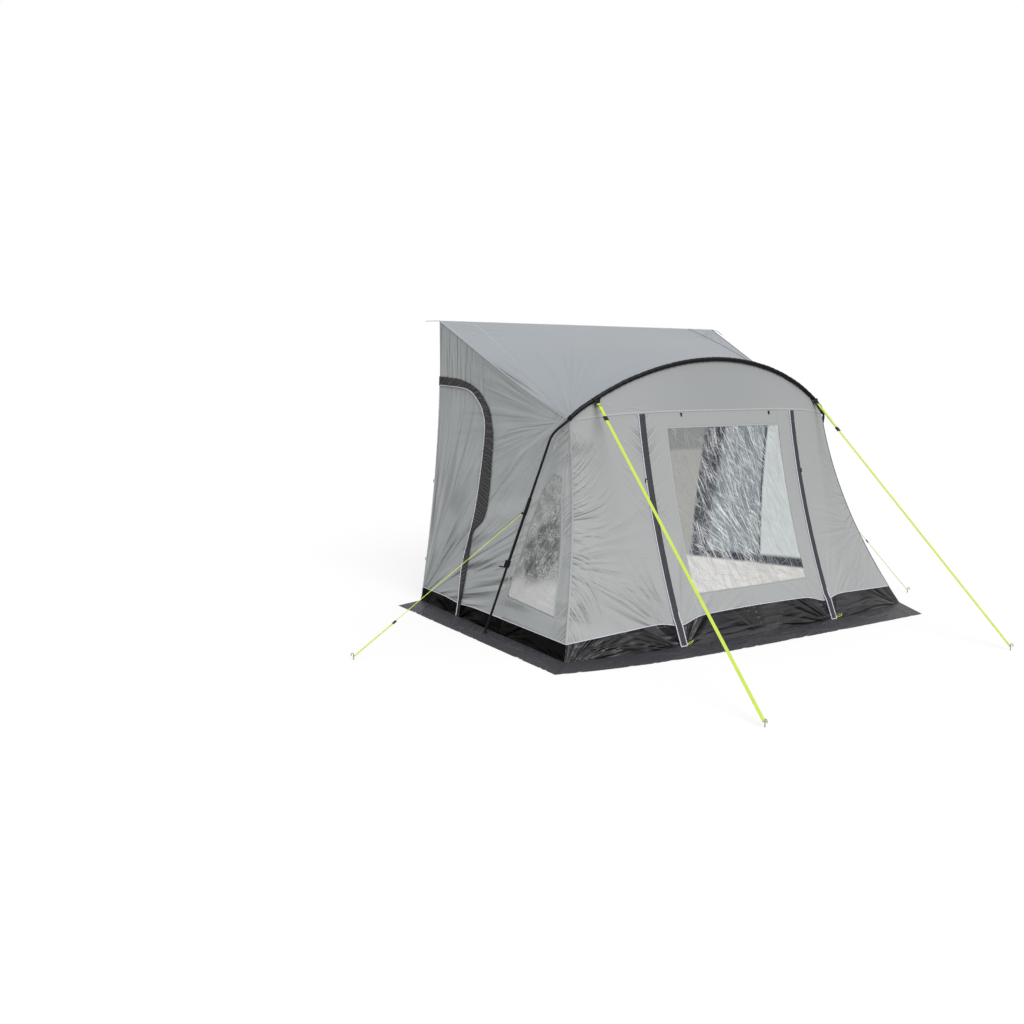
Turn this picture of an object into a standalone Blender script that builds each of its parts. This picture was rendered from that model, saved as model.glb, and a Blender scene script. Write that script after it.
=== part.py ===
"""A lean-to awning: cloth panels sewn round one telescopic steel hoop that leans out from a rail.

The origin lies on the ground at the middle of the object's box. X runs along the rail, the room's
front faces -Y and Z is up. Each cloth panel is a closed sheet on one of five curved surfaces, which
meet along shared seams; the hoop, its sleeve and its legs follow one centre line.
"""

import math

import bmesh
import bpy
from mathutils import Matrix, Vector
from mathutils.geometry import tessellate_polygon

# Clearances between pieces
seam_gap = 0.0003
zip_gap = 0.0012
lay_gap = 0.0005
door_ground_gap = 0.005

# Rail and rear edges: widths are halves, measured from the middle
rail_height = 2.420
rail_half_width = 1.553
rear_straight_height = 2.100
rear_curve_power = 1.7
bead_radius = 0.004
bead_left_end = 1.680
bead_right_end = 1.700
bead_right_droop = 0.050
bead_left_droop = 0.006
bead_bend_share = 0.55
bead_bend_droop_share = 0.25

# Ground line of the walls
base_half_width = 1.762
wall_depth = 2.234
base_bow = 0.123
base_bow_power = 3.0

# Hoop: its arch, from sleeve end to sleeve end, leans forward to the apex
sleeve_half_width = 1.349
sleeve_end_depth = 1.663
sleeve_end_height = 1.633
apex_depth = 1.785
apex_height = 2.084
arch_power = 0.87
arch_step_share = 0.005

# Seam between the gable and the front wall
gable_seam_depth = 1.834
gable_seam_height = 1.686
gable_seam_power = 4.0

# How far the taut cloth draws in between its edges, most at mid height
corner_draw_in = 0.086
corner_draw_back = 0.059
left_eave_bulge = 0.040
right_eave_bulge = -0.012
eave_bulge_power = 4.0

# Cloth
cloth = 0.0020
window_film = 0.0016
flap_cloth = 0.0016
row_shares = (1.0, 0.963, 0.926, 0.82, 0.7165, 0.58, 0.44, 0.30, 0.199, 0.144)
eave_shares = (0.0, 0.14, 0.28, 0.42, 0.55, 0.67, 0.78, 0.87, 0.94, 1.0)
gable_shares = (0.0, 0.35, 0.7, 1.0)
gable_trim_share = 0.15

# Front wall: the door between two zips, its window and the mud wall under it
front_zip_half_width = 0.790
front_flap_half_width = 0.028
front_flap_stop = 0.008
window_left = 0.576
window_right = 0.615
window_top_row_index = 2
window_bottom_row_index = 8
window_column_shares = (1.0, 0.667, 0.333)
corner_column_shares = (0.0, 0.14, 0.34, 0.66, 1.0)
mud_corner_height = 0.118
mud_front_height = 0.200
mud_rear_height = 0.115
mud_zip_dip = 0.035
mud_dip_half_width = 0.130
mud_row_shares = (1.0, 0.5, 0.0)
mud_settling_rounds = 4
seam_hinge_clearance = 0.004

# Side wall: pairs are shares of its depth and of its height under the eave
door_top_shares = (
    (0.0, 0.773), (0.058, 0.786), (0.098, 0.795), (0.144, 0.806), (0.185, 0.815),
    (0.238, 0.825), (0.285, 0.827), (0.319, 0.819), (0.347, 0.808), (0.369, 0.793),
)
door_front_shares = (
    (0.388, 0.760), (0.392, 0.712), (0.376, 0.589), (0.354, 0.443), (0.340, 0.372),
    (0.327, 0.324), (0.308, 0.257), (0.292, 0.187), (0.292, 0.119), (0.298, 0.051),
)
flap_top_shares = (
    (0.0, 0.804), (0.064, 0.819), (0.110, 0.829), (0.163, 0.841), (0.210, 0.849),
    (0.269, 0.855), (0.322, 0.855), (0.362, 0.849), (0.401, 0.831), (0.431, 0.809),
)
flap_front_shares = (
    (0.449, 0.766), (0.458, 0.710), (0.452, 0.607), (0.439, 0.449), (0.408, 0.377),
    (0.351, 0.327), (0.339, 0.260), (0.333, 0.190), (0.327, 0.120), (0.319, 0.052),
)
pole_seam_shares = ((1.0, 1.0), (0.958, 0.915), (0.894, 0.815), (0.753, 0.620), (0.611, 0.166), (0.604, 0.0))
side_strip_shares = (0.34, 0.68, 1.0)
side_window_rear_shares = (0.395, 0.395, 0.395, 0.395, 0.395, 0.328, 0.198, 0.107, 0.074, 0.049, 0.049)
side_window_front_shares = (0.463, 0.463, 0.463, 0.463, 0.463, 0.680, 0.749, 0.787, 0.803, 0.800, 0.800)
side_window_top_row_index = 4
side_window_bottom_row_index = 9
apex_trim_share = 0.02
side_pane_shares = (0.333, 0.667)

# Ground skirts: the left and front strips meet at a mitred corner, the right strip is tucked in
skirt_film = 0.0015
skirt_rear_half_width = 2.020
skirt_rear_set_in = 0.085
skirt_corner_half_width = 1.974
skirt_corner_depth = 2.436
skirt_front_width = 0.260
skirt_front_end_half_width = 1.559
skirt_front_end_depth = 2.609
skirt_tucked_width = 0.250
skirt_tucked_set_in = 0.090
skirt_tucked_gap = 0.0010
skirt_side_shares = (0.0, 0.25, 0.5, 0.75, 1.0)
skirt_middle_share = 0.5

# Steel tubes of the hoop and the legs
hoop_radius = 0.0095
hoop_bore = 0.0085
spigot_radius = 0.0082
spigot_bore = 0.0072
sleeve_radius = 0.0160
leg_radius = 0.0110
round_sides = 16
elbow_out = 0.085
elbow_back = 0.0815
elbow_drop = 0.084
foot_out = 0.094
foot_depth_share = 0.57744
foot_rake = 0.0013
bend_in = 0.060
bend_out = 0.090
bend_end = 0.080
bend_shares = (0.15, 0.3, 0.45, 0.6, 0.75, 0.88)
hoop_plug_end = 0.600
leg_top = 0.530
leg_bottom = 1.090
inner_leg_top = 0.940
inner_leg_end_gap = 0.022

# Collar with the guy's eye at the top of each leg
collar_radius = 0.0140
collar_length = 0.130
ear_height = 0.012
ear_radius = 0.0095
ear_reach = 0.0225
eye_radius = 0.0040
ear_round_sides = 8

# Cam clamp at the lower end of each outer tube
clamp_top = 1.030
clamp_height = 0.052
clamp_radius = 0.0160
clamp_lug_radius = 0.0075
clamp_pin_reach = 0.0230
clamp_pin_radius = 0.0030
lever_head_radius = 0.0070
lever_tip_radius = 0.0045
lever_length = 0.045
lever_height = 0.008

# Foot of each leg
foot_pad_radius = 0.0220
foot_pad_height = 0.0050
foot_neck_radius = 0.0125
foot_plug_length = 0.035
foot_neck_share = 0.25

# Storm straps of flat webbing, from the sleeve to pegs in front
strap_width = 0.025
strap_thickness = 0.0016
left_strap_share = -0.844
right_strap_share = 0.880
left_strap_peg = (-1.511, -3.859)
right_strap_peg = (1.151, -3.638)
strap_tie_height = 0.024
buckle_width = 0.034
buckle_depth = 0.012
buckle_length = 0.040
buckle_corner_radius = 0.004
strap_edge_radius = 0.0004
left_buckle_share = 0.066
right_buckle_share = 0.130

# Side guys of round cord, from the collar's eye to pegs at the sides
guy_radius = 0.0025
left_guy_peg = (-2.974, -1.421)
right_guy_peg = (2.152, -2.019)
guy_tie_height = 0.022
guy_steps = 36
guy_turn_steps = 8
guy_return_steps = 6
left_runner_from_peg = 0.356
right_runner_from_peg = 0.556
runner_length = 0.030
runner_wall = 0.0028
runner_corner_share = 0.98
runner_corner_steps = 4
runner_bore_sides = 12

# Pegs: a bent rod, of which the part above the ground is modelled
peg_radius = 0.0030
peg_height = 0.040
peg_hook_radius = 0.0090
peg_tip_length = 0.010
peg_turn_steps = 8
peg_sides = 8

# Zip sliders on the room side
slider_head_radius = 0.0055
slider_tail_radius = 0.0035
slider_length = 0.010
slider_height = 0.0030
slider_clearance = 0.0008
front_slider_row_index = 6
side_slider_row_index = 3
slider_start_share = 0.06

looks = {
    "roof_cloth": ((0.392, 0.434, 0.466), 0.75, 0.0),
    "wall_cloth": ((0.366, 0.398, 0.398), 0.78, 0.0),
    "gable_cloth": ((0.318, 0.345, 0.352), 0.78, 0.0),
    "black_cloth": ((0.020, 0.020, 0.024), 0.55, 0.0),
    "flap_cloth": ((0.045, 0.046, 0.050), 0.60, 0.0),
    "window_film": ((0.300, 0.330, 0.345), 0.15, 0.0),
    "skirt_film": ((0.090, 0.082, 0.095), 0.50, 0.0),
    "steel": ((0.420, 0.425, 0.430), 0.35, 1.0),
    "black_plastic": ((0.018, 0.018, 0.020), 0.45, 0.0),
    "webbing": ((0.540, 0.790, 0.040), 0.80, 0.0),
    "guy_cord": ((0.540, 0.790, 0.050), 0.80, 0.0),
    "rail_cord": ((0.480, 0.500, 0.520), 0.60, 0.0),
}

front_reach = wall_depth + base_bow + seam_gap + skirt_front_width
rear_reach = seam_gap + 2 * bead_radius
left_reach = skirt_rear_half_width + seam_gap
right_reach = base_half_width + foot_out - foot_rake + foot_pad_radius
centring = Vector(((left_reach - right_reach) / 2, (front_reach - rear_reach) / 2, 0))
sides = (("left", -1), ("right", 1))


def clear_scene():
    for item in list(bpy.data.objects):
        bpy.data.objects.remove(item, do_unlink=True)


def lerp(a, b, share):
    return a + (b - a) * share


def paint(item, look):
    colour, roughness, metallic = looks[look]
    material = bpy.data.materials.new(item.name + "_" + look)
    material.use_nodes = True
    shader = material.node_tree.nodes["Principled BSDF"]
    shader.inputs["Base Color"].default_value = (*colour, 1)
    shader.inputs["Roughness"].default_value = roughness
    shader.inputs["Metallic"].default_value = metallic
    material.diffuse_color = (*colour, 1)
    item.data.materials.append(material)


def add_mesh(name, look, points, faces, frame=None, smooth_angle=math.radians(35)):
    """One closed mesh object. The frame, if given, places points written in the piece's own axes."""
    shape = bmesh.new()
    corners = [shape.verts.new(point) for point in points]
    for face in faces:
        shape.faces.new([corners[index] for index in face])
    bmesh.ops.remove_doubles(shape, verts=shape.verts, dist=seam_gap / 100)
    bmesh.ops.recalc_face_normals(shape, faces=shape.faces)
    mesh = bpy.data.meshes.new(name)
    shape.to_mesh(mesh)
    shape.free()
    mesh.shade_smooth()
    mesh.set_sharp_from_angle(angle=smooth_angle)
    item = bpy.data.objects.new(name, mesh)
    bpy.context.scene.collection.objects.link(item)
    if frame is not None:
        item.matrix_world = frame
    paint(item, look)
    return item


def set_origin(item, origin):
    """Moves a piece's origin to a point on its joint's axis without moving the piece."""
    item.data.transform(Matrix.Translation(-origin))
    item.location = origin


# The envelope's seams and surfaces, before they are centred on the origin

def outward(point):
    """A smooth field that points out of the room; sheets take their thickness along it."""
    side = point.x / base_half_width
    fore = min(0, 2 * point.y / wall_depth + 1)
    rise = max(0, 2 * point.z / rail_height - 1)
    return Vector((side * abs(side), fore * abs(fore), rise * rise)).normalized()


def arch_point(share):
    rise = max(0, 1 - share * share) ** arch_power
    return Vector((
        share * sleeve_half_width,
        -lerp(sleeve_end_depth, apex_depth, rise),
        lerp(sleeve_end_height, apex_height, rise),
    ))


def arch_tangent(share):
    low = max(-1, share - arch_step_share)
    high = min(1, share + arch_step_share)
    return (arch_point(high) - arch_point(low)).normalized()


def ridge_point(share):
    """The seam under the sleeve, where roof and gable meet."""
    centre = arch_point(share)
    tangent = arch_tangent(share)
    away = outward(centre)
    away = (away - tangent * away.dot(tangent)).normalized()
    return centre - away * (sleeve_radius + seam_gap)


ridge_end = ridge_point(1)


def gable_seam_point(share):
    rise = 1 - abs(share) ** gable_seam_power
    return Vector((
        share * ridge_end.x,
        -lerp(-ridge_end.y, gable_seam_depth, rise),
        lerp(ridge_end.z, gable_seam_height, rise),
    ))


def corner_half_width(rise):
    return lerp(base_half_width, ridge_end.x, rise) - corner_draw_in * 4 * rise * (1 - rise)


def corner_depth(rise):
    return lerp(wall_depth, -ridge_end.y, rise) - corner_draw_back * 4 * rise * (1 - rise)


def rear_half_width(rise):
    height = rise * rail_height
    spread = max(0, 1 - height / rear_straight_height) ** rear_curve_power
    return lerp(rail_half_width, base_half_width, spread)


def eave_bulge(side, along):
    """How far the eave stands out; it reaches its full size two thirds of the way to the hoop."""
    size = left_eave_bulge if side < 0 else right_eave_bulge
    return size * 27 / 4 * along * along * (1 - along)


def front_point(share, rise):
    top = gable_seam_point(share)
    bow = 1 - abs(share) ** base_bow_power
    depth = (1 - rise) * (wall_depth + base_bow * bow) - rise * top.y
    depth -= corner_draw_back * 4 * rise * (1 - rise)
    return Vector((share * corner_half_width(rise), -depth, rise * top.z))


def side_point(side, along, rise):
    eave = lerp(rail_half_width, ridge_end.x, along)
    half_width = (1 - rise) * base_half_width + rise * eave
    half_width += (1 - along) * (rear_half_width(rise) - lerp(base_half_width, rail_half_width, rise))
    half_width += along * (corner_half_width(rise) - lerp(base_half_width, ridge_end.x, rise))
    half_width += eave_bulge(side, along) * rise ** eave_bulge_power
    height = rise * lerp(rail_height, ridge_end.z, along)
    return Vector((side * half_width, -along * corner_depth(rise), height))


def roof_point(share, along):
    rail = Vector((share * rail_half_width, 0, rail_height))
    point = lerp(rail, ridge_point(share), along)
    side = -1 if share < 0 else 1
    point.x += side * eave_bulge(side, along) * abs(share) ** eave_bulge_power
    return point


def front_mud_share(share):
    away = (abs(share) * base_half_width - front_zip_half_width) / mud_dip_half_width
    height = lerp(mud_front_height, mud_corner_height, share * share)
    height -= mud_zip_dip * math.exp(-away * away)
    return height / gable_seam_point(share).z


def side_mud_share(along):
    height = lerp(mud_rear_height, mud_corner_height, along)
    return height / lerp(rail_height, ridge_end.z, along)


def front_columns(rise):
    """Shares of the half width of the front wall's columns at one height, left to right."""
    half_width = corner_half_width(rise)
    flap_edge = (front_zip_half_width + front_flap_half_width) / half_width
    right = [lerp(1, flap_edge, share) for share in corner_column_shares]
    right.append(front_zip_half_width / half_width)
    right.append((front_zip_half_width - front_flap_half_width) / half_width)
    left = [-share for share in right]
    left += [-window_left / half_width * share for share in window_column_shares]
    inner_right = [window_right / half_width * share for share in window_column_shares]
    return left + [0] + inner_right[::-1] + right[::-1]


corner_columns = len(corner_column_shares)
column_count = len(front_columns(1))
zip_columns = (corner_columns, column_count - 1 - corner_columns)
window_columns = (corner_columns + 2, column_count - 3 - corner_columns)
arch_shares = front_columns(1)


def front_row(rise):
    return [front_point(share, rise) for share in front_columns(rise)]


def front_mud_row(part):
    """A row of the mud wall. Its height and its columns depend on each other, so a few rounds settle them."""
    row = []
    for column in range(column_count):
        rise = mud_corner_height / ridge_end.z
        for settling in range(mud_settling_rounds):
            share = front_columns(rise)[column]
            rise = front_mud_share(share) * part
        row.append(front_point(share, rise))
    return row


def raise_bottom(row_above, height):
    """The lowest row of a piece that clears the ground."""
    return [Vector((point.x, point.y, height)) for point in row_above]


# Sheets

def inset(grid, top=0, bottom=0, left=0, right=0):
    """Draws a grid's border rows and columns in, along the sheet, to leave a seam's gap."""
    grid = [[point.copy() for point in row] for row in grid]
    last = len(grid) - 1
    for column in range(len(grid[0])):
        if top:
            grid[0][column] += (grid[1][column] - grid[0][column]).normalized() * top
        if bottom:
            grid[last][column] += (grid[last - 1][column] - grid[last][column]).normalized() * bottom
    for row in grid:
        if left:
            row[0] += (row[1] - row[0]).normalized() * left
        if right:
            row[-1] += (row[-2] - row[-1]).normalized() * right
    return grid


def lifted(grid, distance):
    return [[point + outward(point) * distance for point in row] for row in grid]


def block(grid, rows, columns):
    return [row[columns[0]:columns[1] + 1] for row in grid[rows[0]:rows[1] + 1]]


def sheet(name, look, grid, thickness, hole=None, upright=False):
    """A closed sheet under a grid of outer points. The hole is a span of rows and of columns."""
    index_of = {}
    points = []
    for row in grid:
        for point in row:
            key = tuple(round(value / seam_gap, 2) for value in point)
            if key not in index_of:
                index_of[key] = len(points)
                points.append(point)
    table = []
    for row in grid:
        table.append([index_of[tuple(round(value / seam_gap, 2) for value in point)] for point in row])
    outer = []
    for i in range(len(grid) - 1):
        for j in range(len(grid[0]) - 1):
            if hole and hole[0][0] <= i < hole[0][1] and hole[1][0] <= j < hole[1][1]:
                continue
            a, b = table[i][j], table[i][j + 1]
            c, d = table[i + 1][j + 1], table[i + 1][j]
            outer += [face for face in ((a, b, c), (a, c, d)) if len(set(face)) == 3]
    count = len(points)
    edges = set()
    for face in outer:
        edges.update(((face[0], face[1]), (face[1], face[2]), (face[2], face[0])))
    faces = list(outer)
    faces += [(face[2] + count, face[1] + count, face[0] + count) for face in outer]
    for start, end in sorted(edges):
        if (end, start) not in edges:
            faces += [(end, start, start + count), (end, start + count, end + count)]
    if upright:
        inner = [point - Vector((0, 0, thickness)) for point in points]
    else:
        inner = [point - outward(point) * thickness for point in points]
    everything = [point + centring for point in points + inner]
    return add_mesh(name, look, everything, faces)


def side_cells(side, pairs):
    return [[side_point(side, along, rise) for along, rise in row] for row in pairs]


def pole_share(rise):
    """How far along the side wall the seam beside the leg lies at a height."""
    for (high_along, high), (low_along, low) in zip(pole_seam_shares, pole_seam_shares[1:]):
        if rise >= low:
            return lerp(low_along, high_along, (rise - low) / (high - low))
    return pole_seam_shares[-1][0]


# Round pieces and prisms

def cross_axes(tangent):
    across = tangent.cross(Vector((0, 1, 0))).normalized()
    return across, tangent.cross(across)


def ring(centre, tangent, radius, count):
    across, other = cross_axes(tangent)
    turns = [2 * math.pi * step / count for step in range(count)]
    return [centre + (across * math.cos(turn) + other * math.sin(turn)) * radius for turn in turns]


def bridge(start, second, count):
    """Quads between two rings of the same count, given the index of each ring's first point."""
    faces = []
    for step in range(count):
        after = (step + 1) % count
        faces.append((start + step, start + after, second + after, second + step))
    return faces


def tube(name, look, stations, count=round_sides):
    """A hollow tube through stations of centre, tangent, radius and bore."""
    rings = [ring(centre, tangent, radius, count) for centre, tangent, radius, bore in stations]
    rings += [ring(centre, tangent, bore, count) for centre, tangent, radius, bore in reversed(stations)]
    points = [point + centring for line in rings for point in line]
    faces = []
    for step in range(len(rings)):
        after = (step + 1) % len(rings)
        faces += bridge(step * count, after * count, count)
    return add_mesh(name, look, points, faces)


def rod(name, look, stations, count=round_sides):
    """A solid bar through stations of centre, tangent and radius, closed by flat ends."""
    points = []
    faces = []
    for centre, tangent, radius in stations:
        points += [point + centring for point in ring(centre, tangent, radius, count)]
    for step in range(len(stations) - 1):
        faces += bridge(step * count, (step + 1) * count, count)
    faces.append(tuple(range(count)))
    faces.append(tuple(range(len(points) - count, len(points))))
    return add_mesh(name, look, points, faces)


def circle(radius, count=round_sides, centre=0):
    turns = [2 * math.pi * step / count for step in range(count)]
    return [(centre + radius * math.cos(turn), radius * math.sin(turn)) for turn in turns]


def teardrop(radius, small_radius, reach, side, count=round_sides, small_count=ear_round_sides):
    """The outline round a circle and a smaller one, whose centres lie reach apart along X."""
    lean = math.acos((radius - small_radius) / reach)
    outline = []
    for step in range(count + 1):
        turn = lerp(lean, 2 * math.pi - lean, step / count)
        outline.append((side * radius * math.cos(turn), radius * math.sin(turn)))
    for step in range(small_count + 1):
        turn = lerp(-lean, lean, step / small_count)
        outline.append((side * (reach + small_radius * math.cos(turn)), small_radius * math.sin(turn)))
    return outline


def rounded_bar(width, depth, radius, steps=3):
    """A rectangle with round corners."""
    outline = []
    for quarter, (across, up) in enumerate(((1, 1), (-1, 1), (-1, -1), (1, -1))):
        for step in range(steps + 1):
            turn = math.pi / 2 * (quarter + step / steps)
            outline.append((
                across * (width / 2 - radius) + radius * math.cos(turn),
                up * (depth / 2 - radius) + radius * math.sin(turn),
            ))
    return outline


def stacked(name, look, walls, caps, frame):
    """A solid of prisms: walls are loops with two heights, caps are loops, one outside the rest."""
    points = []
    faces = []
    for loop, low, high in walls:
        start = len(points)
        points += [Vector((x, y, low)) for x, y in loop]
        points += [Vector((x, y, high)) for x, y in loop]
        faces += bridge(start, start + len(loop), len(loop))
    for height, loops in caps:
        start = len(points)
        flat = [[Vector((x, y, height)) for x, y in loop] for loop in loops]
        points += [point for loop in flat for point in loop]
        for face in tessellate_polygon(flat):
            faces.append(tuple(start + index for index in face))
    return add_mesh(name, look, points, faces, frame)


def prism(name, look, outline, holes, height, frame):
    loops = [outline] + holes
    walls = [(loop, 0, height) for loop in loops]
    return stacked(name, look, walls, [(0, loops), (height, loops)], frame)


# Hoop and leg geometry

def leg_axis(side):
    sleeve_end = arch_point(side)
    elbow = sleeve_end + Vector((side * elbow_out, elbow_back, -elbow_drop))
    foot = Vector((side * (base_half_width + foot_out), -wall_depth * foot_depth_share, 0))
    return elbow, (foot - elbow).normalized(), (foot - elbow).length


def leg_frame(side, distance):
    """Axes of a piece on the leg: Z runs down the leg and X lies level with the wall's outside."""
    elbow, down, length = leg_axis(side)
    across, other = cross_axes(down)
    frame = Matrix((across, other, down)).transposed().to_4x4()
    frame.translation = elbow + down * distance + centring
    return frame


def hoop_bend(side):
    """Centre points from the sleeve's end round the elbow, in order down the leg."""
    elbow, down, length = leg_axis(side)
    start = arch_point(side)
    end = elbow + down * bend_end
    start_handle = start + arch_tangent(side) * side * bend_in
    end_handle = end - down * bend_out
    points = []
    for share in bend_shares:
        rest = 1 - share
        point = start * rest ** 3 + start_handle * 3 * rest * rest * share
        point += end_handle * 3 * rest * share * share + end * share ** 3
        points.append(point)
    return points + [end, elbow + down * hoop_plug_end]


def hoop_path():
    left = hoop_bend(-1)[::-1]
    arch = [arch_point(share) for share in arch_shares]
    return left + arch + hoop_bend(1)


def path_tangents(points):
    tangents = []
    for index in range(len(points)):
        before = points[max(0, index - 1)]
        after = points[min(len(points) - 1, index + 1)]
        tangents.append((after - before).normalized())
    return tangents


def largest_reach(direction, axis, offsets, distance):
    """How far along a direction a flat end must start to stay a distance from a round axis."""
    flat = direction - axis * direction.dot(axis)
    reach = 0
    for offset in offsets:
        side_offset = offset - axis * offset.dot(axis)
        half = flat.dot(side_offset) / flat.dot(flat)
        rest = half * half - (side_offset.dot(side_offset) - distance * distance) / flat.dot(flat)
        if rest > 0:
            reach = max(reach, math.sqrt(rest) - half)
    return reach


# Cloth pieces

def make_roof():
    grid = [[roof_point(share, along) for share in arch_shares] for along in eave_shares]
    half = seam_gap / 2
    sheet("roof_panel", "roof_cloth", inset(grid, bottom=half, left=half, right=half), cloth)


def make_rail_bead():
    rear = seam_gap + bead_radius
    bend_left = lerp(rail_half_width, bead_left_end, bead_bend_share)
    bend_right = lerp(rail_half_width, bead_right_end, bead_bend_share)
    points = [
        Vector((-bead_left_end, rear, rail_height - bead_left_droop)),
        Vector((-bend_left, rear, rail_height - bead_left_droop * bead_bend_droop_share)),
        Vector((-rail_half_width, rear, rail_height)),
        Vector((0, rear, rail_height)),
        Vector((rail_half_width, rear, rail_height)),
        Vector((bend_right, rear, rail_height - bead_right_droop * bead_bend_droop_share)),
        Vector((bead_right_end, rear, rail_height - bead_right_droop)),
    ]
    tangents = path_tangents(points)
    rod("rail_bead", "rail_cord", [(a, b, bead_radius) for a, b in zip(points, tangents)], peg_sides)


def make_gable():
    grid = []
    for part in gable_shares:
        row = [lerp(ridge_point(share), gable_seam_point(share), part) for share in arch_shares]
        row[0] = lerp(row[0], row[1], gable_trim_share)
        row[-1] = lerp(row[-1], row[-2], gable_trim_share)
        grid.append(row)
    half = seam_gap / 2
    sheet("gable_panel", "gable_cloth", inset(grid, top=half, bottom=half), cloth)


def make_front():
    """Two corner panels, the door between the zips, and the mud walls under them."""
    upper = [front_row(rise) for rise in row_shares] + [front_mud_row(1)]
    lower = [front_mud_row(part) for part in mud_row_shares]
    last = len(upper) - 1
    half = seam_gap / 2
    zip_half = zip_gap / 2
    left_span = (0, zip_columns[0])
    door_span = zip_columns
    right_span = (zip_columns[1], column_count - 1)
    for side, span, corner_end, zip_end in (
        ("left", left_span, "left", "right"),
        ("right", right_span, "right", "left"),
    ):
        edges = {corner_end: half, zip_end: zip_half}
        panel = inset(block(upper, (0, last), span), top=half, bottom=half, **edges)
        sheet("front_panel_" + side, "wall_cloth", panel, cloth)
        mud = inset(block(lower, (0, len(lower) - 1), span), top=half, **edges)
        sheet("mud_wall_front_" + side, "black_cloth", mud, cloth)

    hinge = Vector((0, -gable_seam_depth - seam_hinge_clearance, gable_seam_height)) + centring
    door = inset(block(upper, (0, last), door_span), top=half, bottom=half, left=zip_half, right=zip_half)
    first = zip_columns[0]
    hole_rows = (window_top_row_index, window_bottom_row_index)
    hole_columns = (window_columns[0] - first, window_columns[1] - first)
    panel = sheet("front_door_panel", "wall_cloth", door, cloth, (hole_rows, hole_columns))
    set_origin(panel, hinge)
    pane = inset(block(upper, hole_rows, window_columns), seam_gap, seam_gap, seam_gap, seam_gap)
    set_origin(sheet("front_window", "window_film", pane, window_film), hinge)
    lower[-1] = raise_bottom(lower[-1], door_ground_gap)
    mud = inset(block(lower, (0, len(lower) - 1), door_span), top=half, left=zip_half, right=zip_half)
    set_origin(sheet("mud_wall_front_door", "black_cloth", mud, cloth), hinge)

    for side, middle in (("left", zip_columns[0]), ("right", zip_columns[1])):
        flap = [row[middle - 1:middle + 2] for row in upper]
        flap = inset(flap, top=front_flap_stop, bottom=half)
        flap = lifted(flap, lay_gap + flap_cloth)
        set_origin(sheet("front_zip_flap_" + side, "flap_cloth", flap, flap_cloth), hinge)


def side_rows(side):
    """Pairs of shares for the wall round the door, its outer edge following eave and pole seam."""
    inner = list(door_top_shares + door_front_shares)
    flap = list(flap_top_shares + flap_front_shares)
    outer = [(along, 1) for along in eave_shares]
    outer += [(pole_share(rise), rise) for rise in row_shares[1:]]
    outer.append((pole_share(side_mud_share(1)), 0))
    rows = []
    for zip_pair, flap_pair, outer_pair in zip(inner, flap, outer):
        row = [zip_pair, flap_pair]
        for part in side_strip_shares:
            row.append((lerp(flap_pair[0], outer_pair[0], part), lerp(flap_pair[1], outer_pair[1], part)))
        rows.append(row)
    rows[-1] = [(along, side_mud_share(along)) for along, rise in rows[-1]]
    return rows


def window_panel_pairs():
    """Pairs of shares for the panel between the pole seam and the corner, from its apex down."""
    rows = []
    for index in range(len(row_shares) + 1):
        mud = index == len(row_shares)
        rise = side_mud_share(1) if mud else row_shares[index]
        rear = pole_share(rise)
        low = lerp(rear, 1, side_window_rear_shares[index])
        high = lerp(rear, 1, side_window_front_shares[index])
        alongs = [rear, low] + [lerp(low, high, share) for share in side_pane_shares] + [high, 1]
        rows.append([(along, side_mud_share(along) if mud else rise) for along in alongs])
    middle = rows[1][2]
    apex = (lerp(1, middle[0], apex_trim_share), lerp(1, middle[1], apex_trim_share))
    rows[0] = [apex] * len(rows[1])
    return rows


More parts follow.
